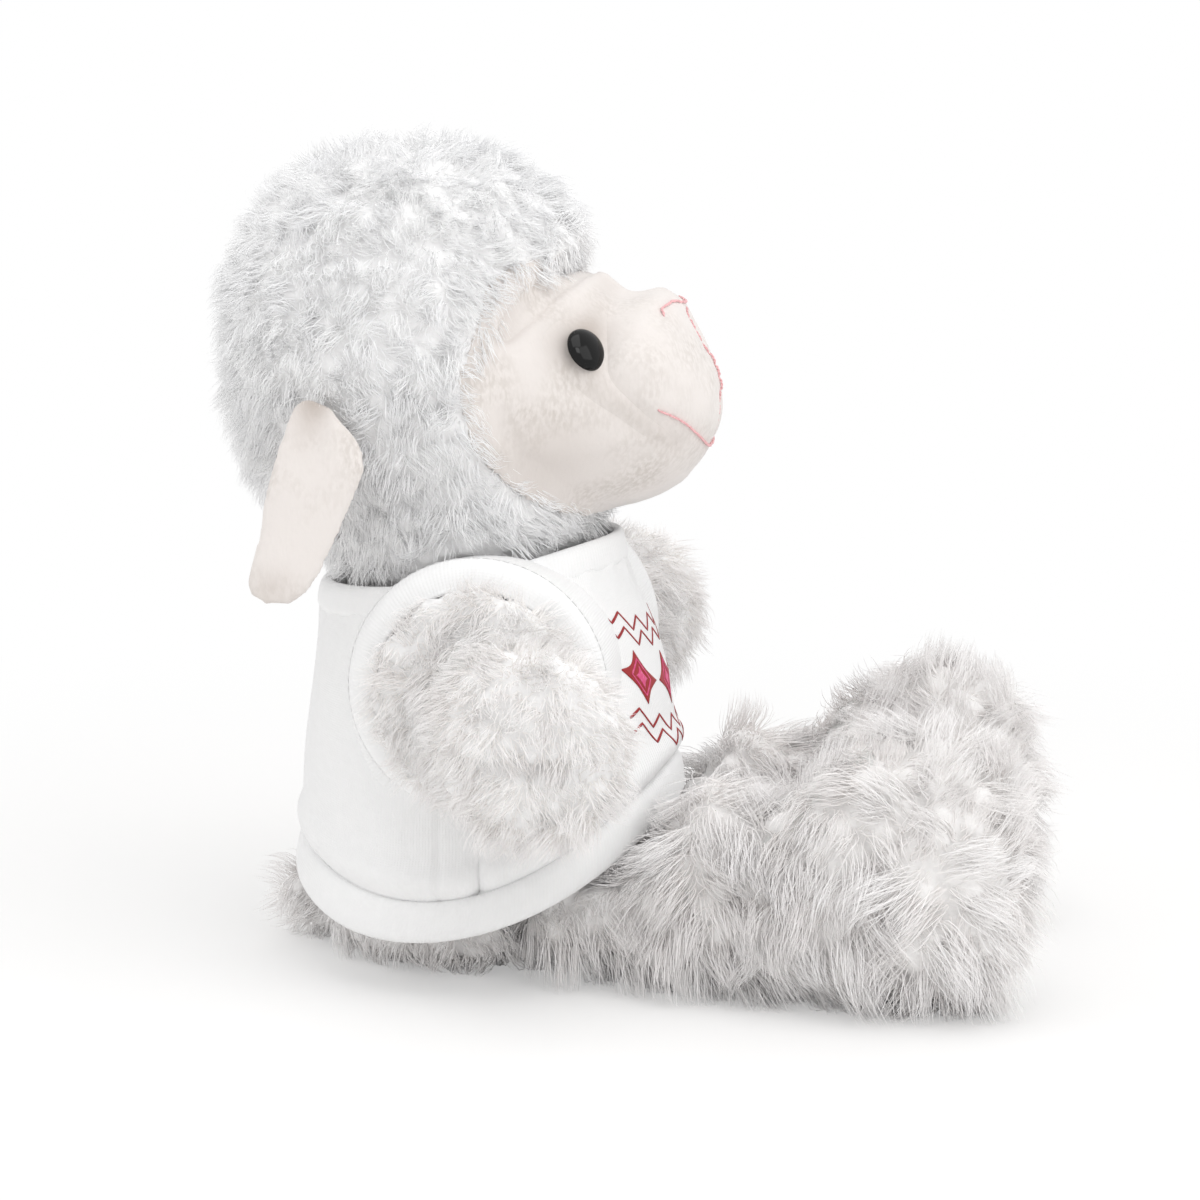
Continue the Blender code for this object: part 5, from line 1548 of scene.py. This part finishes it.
band("tee_hem", hem_edge, HEM_WIDE, 1.0 * MM, 0.25 * MM, 200, "tee_hem_band")
band("tee_neck_rib", lambda t: neck_edge(t) - NECK_WIDE, NECK_WIDE, 0.8 * MM, 0.1 * MM, 160,
     "tee_neckband")
white_thread = jersey_finish("white_thread", "#fdfdfd", "#eeeeee", 0.3, 0.05)
for number, (below, out) in enumerate(((1.6 * MM, 0.84 * MM), (3.0 * MM, 0.98 * MM)), start=1):
    run_of_stitches(f"hem_stitches_{number}",
                    *around(lambda t: hem_edge(t) + HEM_WIDE - below, out))

# %% [markdown]
# Sleeves. Each is short and ends in a folded band about 8 mm wide that grips the arm, so seen
# from the side the band is a smooth ring. The sleeve starts where it is sewn to the front and
# back, leaves their surface gently and turns out along the arm. The hole that it is sewn to
# reaches further down and back than up. At its mouth the band rolls in: a table gives how far
# out and how far in from the mouth's radius its last rows lie, in millimetres.

# %% Sleeves and their bands
MOUTH_OUT = 50.2 * MM
MOUTH_RADIUS = 24.2 * MM
FOLD_OUT = 45.0 * MM
FOLD_RADIUS = 30.4 * MM
FOLD_SHARE = 0.62
SEWN_SHARE = 0.66
ARMHOLE = 30.5
ARMHOLE_DOWN = 5.5
ARMHOLE_UP = -1.6
ARMHOLE_BACK = 3.0
SLEEVE_SLACK = 0.45 * MM
MOUTH_ROLL = ((0.35, 0.35), (0.1, 0.9), (-0.7, 1.0), (-1.6, 0.7))


def sleeve_base(turn):
    """Where the sleeve is sewn to the tee, for turns about the shoulder from the front up."""
    rise = np.sin(turn)
    radius = (ARMHOLE + ARMHOLE_DOWN * np.clip(-rise, 0, 1) ** 1.5
              + ARMHOLE_UP * np.clip(rise, 0, 1)
              + ARMHOLE_BACK * np.clip(-np.cos(turn), 0, 1) ** 2 * (1 - np.abs(rise))) * MM
    forward, up = radius * np.cos(turn), radius * rise
    y, z = SHOULDER[1] - forward, SHOULDER[2] + up
    half, deep, middle = tee_ellipse(z)
    reach = np.clip(1 - ((y - middle) / deep) ** 2, 0.08, 1)
    return half * np.sqrt(reach), radius


def sleeve_rows(turn, first, last, count):
    """The sleeve's outer rows from its seam to its mouth, between two shares of the way."""
    base_out, base_radius = sleeve_base(turn)
    rows = []
    for t in np.linspace(first, last, count):
        if t < FOLD_SHARE:
            s = t / FOLD_SHARE
            out = base_out + (FOLD_OUT - base_out) * (1 - (1 - s) ** 1.5)
            radius = base_radius + (FOLD_RADIUS - base_radius) * s ** 1.3
            radius = radius + SLEEVE_SLACK * math.sin(math.pi * s) * np.sin(5 * turn + 1.0)
        else:
            s = (t - FOLD_SHARE) / (1 - FOLD_SHARE)
            out = FOLD_OUT + (MOUTH_OUT - FOLD_OUT) * (s + 0.16 * math.sin(math.pi * s))
            radius = FOLD_RADIUS + (MOUTH_RADIUS - FOLD_RADIUS) * s ** 1.35
            radius = radius + 0.7 * MM * math.sin(math.pi * min(1, s * 1.1))
        rows.append((np.broadcast_to(out, turn.shape), np.broadcast_to(radius, turn.shape)))
    return rows


def sleeve_places(rows, turn, sign):
    """Rows of distance out and radius as places, on the left or the right."""
    return np.stack([np.stack([sign * out, SHOULDER[1] - radius * np.cos(turn),
                               SHOULDER[2] + radius * np.sin(turn)], axis=-1)
                     for out, radius in rows])


turn = np.linspace(0, 2 * math.pi, 144, endpoint=False)
for side, sign in SIDES:
    cloth_rows = sleeve_rows(turn, 0.0, 0.60, 16)
    out, radius = cloth_rows[0]
    cloth_rows.insert(0, (out - 1.2 * MM, radius - 0.3 * MM))
    shape, flat = closed_cloth(sleeve_places(cloth_rows, turn, sign), 0.6 * MM, True)
    cloth_piece(f"sleeve_{side}", shape, flat, jersey,
                "cotton_jersey", f"tee_sleeve_{side}")
    band_rows = sleeve_rows(turn, 0.58, 1.0, 15)
    out, radius = band_rows[0]
    band_rows.insert(0, (out - 0.8 * MM, radius - 0.9 * MM))
    for beyond, within in MOUTH_ROLL:
        band_rows.append((np.full(turn.shape, MOUTH_OUT + beyond * MM),
                          np.full(turn.shape, MOUTH_RADIUS - within * MM)))
    shape, flat = closed_cloth(sleeve_places(band_rows, turn, sign), 0.5 * MM, True)
    cloth_piece(f"sleeve_band_{side}", shape, flat, rib,
                "rib_band", f"tee_sleeve_{side}")
    out, radius = sleeve_rows(turn, SEWN_SHARE, SEWN_SHARE, 1)[0]
    rings = sleeve_places([(out, radius), (out + 1 * MM, radius + 1 * MM)], turn, sign)
    line, beyond = np.concatenate([rings, rings[:, :1]], axis=1)
    run_of_stitches(f"sleeve_stitches_{side}", line, unit(beyond - line))

# %% [markdown]
# Fillings. Under the covers lies polyester fibre, packed by hand in tufts, and the seat holds a
# cloth bag of plastic pellets that keeps the sheep sitting. Nobody sees them on a finished toy,
# but whoever takes off a cover does, so each is a soft lumpy body of its own. The head's
# filling is drawn in under the face and the wool's skin, so that it never shows through them.

# %% Fillings, pellet bag and neck wad
TUFT = 9.0 * MM
PELLET = 3.8 * MM


def fibre_finish(name, base, shade):
    """Loose fibre: fine threads that wander, drawn as noise stretched along other noise."""
    material, tree, shader = finish_of(name, base, 0.9, sheen=0.5)
    where = add(tree, "ShaderNodeTexCoord")
    wander = add(tree, "ShaderNodeTexNoise", {"Vector": where.outputs["Object"]},
                 scale=per_metre(7.0), detail=2.0)
    bent = add(tree, "ShaderNodeVectorMath", {0: wander.outputs["Color"],
                                              2: where.outputs["Object"]},
               operation="MULTIPLY_ADD")
    bent.inputs[1].default_value = (0.02, 0.02, 0.004)
    threads = add(tree, "ShaderNodeTexNoise", {"Vector": bent.outputs[0]},
                  scale=per_metre(0.8), detail=4.0)
    mix = add(tree, "ShaderNodeMix", {0: threads.outputs["Fac"]}, data_type="RGBA")
    mix.inputs[6].default_value = colour(shade)
    mix.inputs[7].default_value = colour(base)
    tree.links.new(mix.outputs[2], shader.inputs["Base Color"])
    bump = add(tree, "ShaderNodeBump", {"Height": threads.outputs["Fac"]}, strength=0.7,
               distance=0.5 * MM)
    tree.links.new(bump.outputs[0], shader.inputs["Normal"])
    return material


def calico_finish(name, base, shade, thread_mm):
    """A plain weave: two crossed rows of threads, one every so many millimetres."""
    material, tree, shader = finish_of(name, base, 0.92)
    where = add(tree, "ShaderNodeTexCoord")
    parts = add(tree, "ShaderNodeSeparateXYZ", {0: where.outputs["Object"]})
    rows = []
    for axis in ("X", "Y"):
        turn = add(tree, "ShaderNodeMath", {0: parts.outputs[axis]}, operation="MULTIPLY")
        turn.inputs[1].default_value = 2 * math.pi * per_metre(thread_mm)
        rows.append(add(tree, "ShaderNodeMath", {0: turn.outputs[0]}, operation="SINE"))
    weave = add(tree, "ShaderNodeMath", {0: rows[0].outputs[0], 1: rows[1].outputs[0]},
                operation="MULTIPLY")
    mix = add(tree, "ShaderNodeMix", {0: weave.outputs[0]}, data_type="RGBA")
    mix.inputs[6].default_value = colour(base)
    mix.inputs[7].default_value = colour(shade)
    tree.links.new(mix.outputs[2], shader.inputs["Base Color"])
    bump = add(tree, "ShaderNodeBump", {"Height": weave.outputs[0]}, strength=0.6,
               distance=0.1 * MM)
    tree.links.new(bump.outputs[0], shader.inputs["Normal"])
    return material


def stuffed(name, node, gap, height, material, body, slot, covers=()):
    """A filling: the node melted, shrunk a little, raised in lumps and kept under its covers."""
    mesh = melted(name, [node], 2.0 * MM, 8, draw_in=0.8 * MM)
    centres, _, _ = scatter(mesh, int(LOCK_TRIES * scatter(mesh, 1)[2] / gap ** 2))
    lumpy(mesh, centres[spaced(centres, gap)], gap, height)
    for cover, under in covers:
        print(name, "places tucked in", tuck_in(mesh, cover, under))
    show(name, mesh, material, body, slot, node)


fibre = fibre_finish("polyester_fibre", "#f7f7f5", "#e3e4e2")
calico = calico_finish("pellet_calico", "#eee9df", "#dcd5c8", 0.6)
HEAD_COVERS = ((face_surface, 3.0 * MM), (mesh_tree(head_wool.data), 1.0 * MM))
FILLED = (("head", "head", HEAD_COVERS), ("body", "torso", ()), ("neck", "neck", ()))
for name, body, covers in FILLED:
    stuffed(f"{name}_wad", f"{name}_filling", TUFT, 0.5 * MM, fibre, body, "fibre_filling",
            covers)
for side, _ in SIDES:
    for limb in ("arm", "leg"):
        stuffed(f"{limb}_wad_{side}", f"{limb}_filling_{side}", TUFT, 0.5 * MM, fibre,
                f"{limb}_{side}", "fibre_filling")
stuffed("pellet_sack", "pellet_bag", PELLET, 0.3 * MM, calico, "torso", "pellet_cloth")
print("fillings", len(FILLED) + 5)

# %% [markdown]
# Chest print. A row of three filled lozenges with pink centres, between thin outlined zigzags,
# is printed on the chest in plastic ink. The row arches with the neckline. A film of ink lies
# on the cloth and follows its folds, but it is smoother than the knit and shines a little.

# %% Chest print
PRINT_HEIGHT = 68.5 * MM
PRINT_ARCH = 6.5 * MM
PRINT_REACH = 25.0 * MM
INK = 0.10 * MM
RED_LIFT = 0.08 * MM
PINK_LIFT = 0.18 * MM
PRINT_MIDDLES = (-16.5, 0.0, 16.5)
LINE_WIDE = 0.55
ZIGZAG_AT = 12.0
ZIGZAG_HIGH = 3.6
ZIGZAG_REACH = 24.75


def ink_finish(name, base, wear_and_shade):
    """Screen ink: even colour with small pale cracks where the knit shows through."""
    material, tree, shader = finish_of(name, base, 0.55)
    where = add(tree, "ShaderNodeTexCoord")
    speck = add(tree, "ShaderNodeTexNoise", {"Vector": where.outputs["Object"]},
                scale=per_metre(0.9), detail=3.0)
    pick = add(tree, "ShaderNodeMapRange", {0: speck.outputs["Fac"]})
    pick.inputs[1].default_value = 0.52
    pick.inputs[2].default_value = 0.75
    mix = add(tree, "ShaderNodeMix", {0: pick.outputs[0]}, data_type="RGBA")
    mix.inputs[6].default_value = colour(base)
    mix.inputs[7].default_value = colour(wear_and_shade)
    tree.links.new(mix.outputs[2], shader.inputs["Base Color"])
    bump = add(tree, "ShaderNodeBump", {"Height": speck.outputs["Fac"]}, strength=0.3,
               distance=0.05 * MM)
    tree.links.new(bump.outputs[0], shader.inputs["Normal"])
    return material


def on_chest(drawn, lift):
    """Places on the cloth for a grid of millimetres aside and up from the print's middle."""
    aside, up = drawn[..., 0] * MM, drawn[..., 1] * MM
    height = PRINT_HEIGHT + up + PRINT_ARCH * (aside / PRINT_REACH) ** 2
    half, deep, _ = tee_ellipse(height)
    turn = math.pi / 2 - aside / half
    return on_tee(turn, height, folds(turn, height) + CLOTH + lift)


def printed(name, grids, ink, lift):
    """Films of ink for grids drawn flat, as one piece."""
    whole = bmesh.new()
    for number, grid in enumerate(grids):
        film, _ = closed_cloth(on_chest(grid, lift), INK, False)
        part = finished(f"{name}_{number}", film)
        whole.from_mesh(part)
        bpy.data.meshes.remove(part)
    show(name, finished(name, whole), ink, "torso", "cotton_jersey")


def ribbon(points, wide, closed=False):
    """A line of even width through corners, as a grid of two columns."""
    points = np.array(points, float)
    if closed:
        points = np.concatenate([points, points[:1]])
    rows = []
    for a, b in zip(points, points[1:]):
        rows += [a + (b - a) * s for s in np.linspace(0, 1, max(2, int(math.dist(a, b) / 0.7)),
                                                      endpoint=False)]
    rows = np.array(rows + [points[-1]])
    ahead = np.gradient(rows, axis=0)
    if closed:
        ahead[0] = ahead[-1] = rows[1] - rows[-2]
    side = unit(np.stack([-ahead[:, 1], ahead[:, 0]], axis=-1))
    return np.stack([rows - side * wide / 2, rows + side * wide / 2], axis=1)


def lozenge(middle, wide, high, cut=16):
    """A filled lozenge with slightly hollow sides, as a grid."""
    a, b = np.meshgrid(np.linspace(-1, 1, cut), np.linspace(-1, 1, cut), indexing="ij")
    x, y = (a + b) / 2, (b - a) / 2
    pinch = 1 - 0.22 * (1 - (np.abs(x) - np.abs(y)) ** 2) * (np.abs(x) + np.abs(y)) ** 2
    return np.stack([middle[0] + x * pinch * wide / 2, middle[1] + y * pinch * high / 2], axis=-1)


red_ink = ink_finish("dark_red_ink", "#9c1c1f", "#a8393a")
pink_ink = ink_finish("pink_ink", "#d94a80", "#e47ba0")
fills, centres, rims, zigzags = [], [], [], []
for x in PRINT_MIDDLES:
    fills.append(lozenge((x, 0.0), 14.5, 13.0))
    centres.append(lozenge((x, 0.0), 4.4, 5.4, cut=10))
    rims.append(ribbon([(x - 3.6, 0.0), (x, 4.4), (x + 3.6, 0.0), (x, -4.4)], 0.4, True))
for way in (1, -1):
    for lift in (0.0, ZIGZAG_HIGH):
        corners = [(x, way * (ZIGZAG_AT + lift - (ZIGZAG_HIGH if k % 2 else 0.0)))
                   for k, x in enumerate(np.linspace(-ZIGZAG_REACH, ZIGZAG_REACH, 13))]
        zigzags.append(ribbon(corners, LINE_WIDE))
printed("print_lozenges", fills, red_ink, RED_LIFT)
printed("print_lines", zigzags, red_ink, RED_LIFT)
printed("print_hearts", centres, pink_ink, PINK_LIFT)
printed("print_heart_lines", rims, pink_ink, PINK_LIFT)
reach = (ZIGZAG_AT + ZIGZAG_HIGH) * MM
print("print between", PRINT_HEIGHT - reach, "and", PRINT_HEIGHT + reach + PRINT_ARCH)
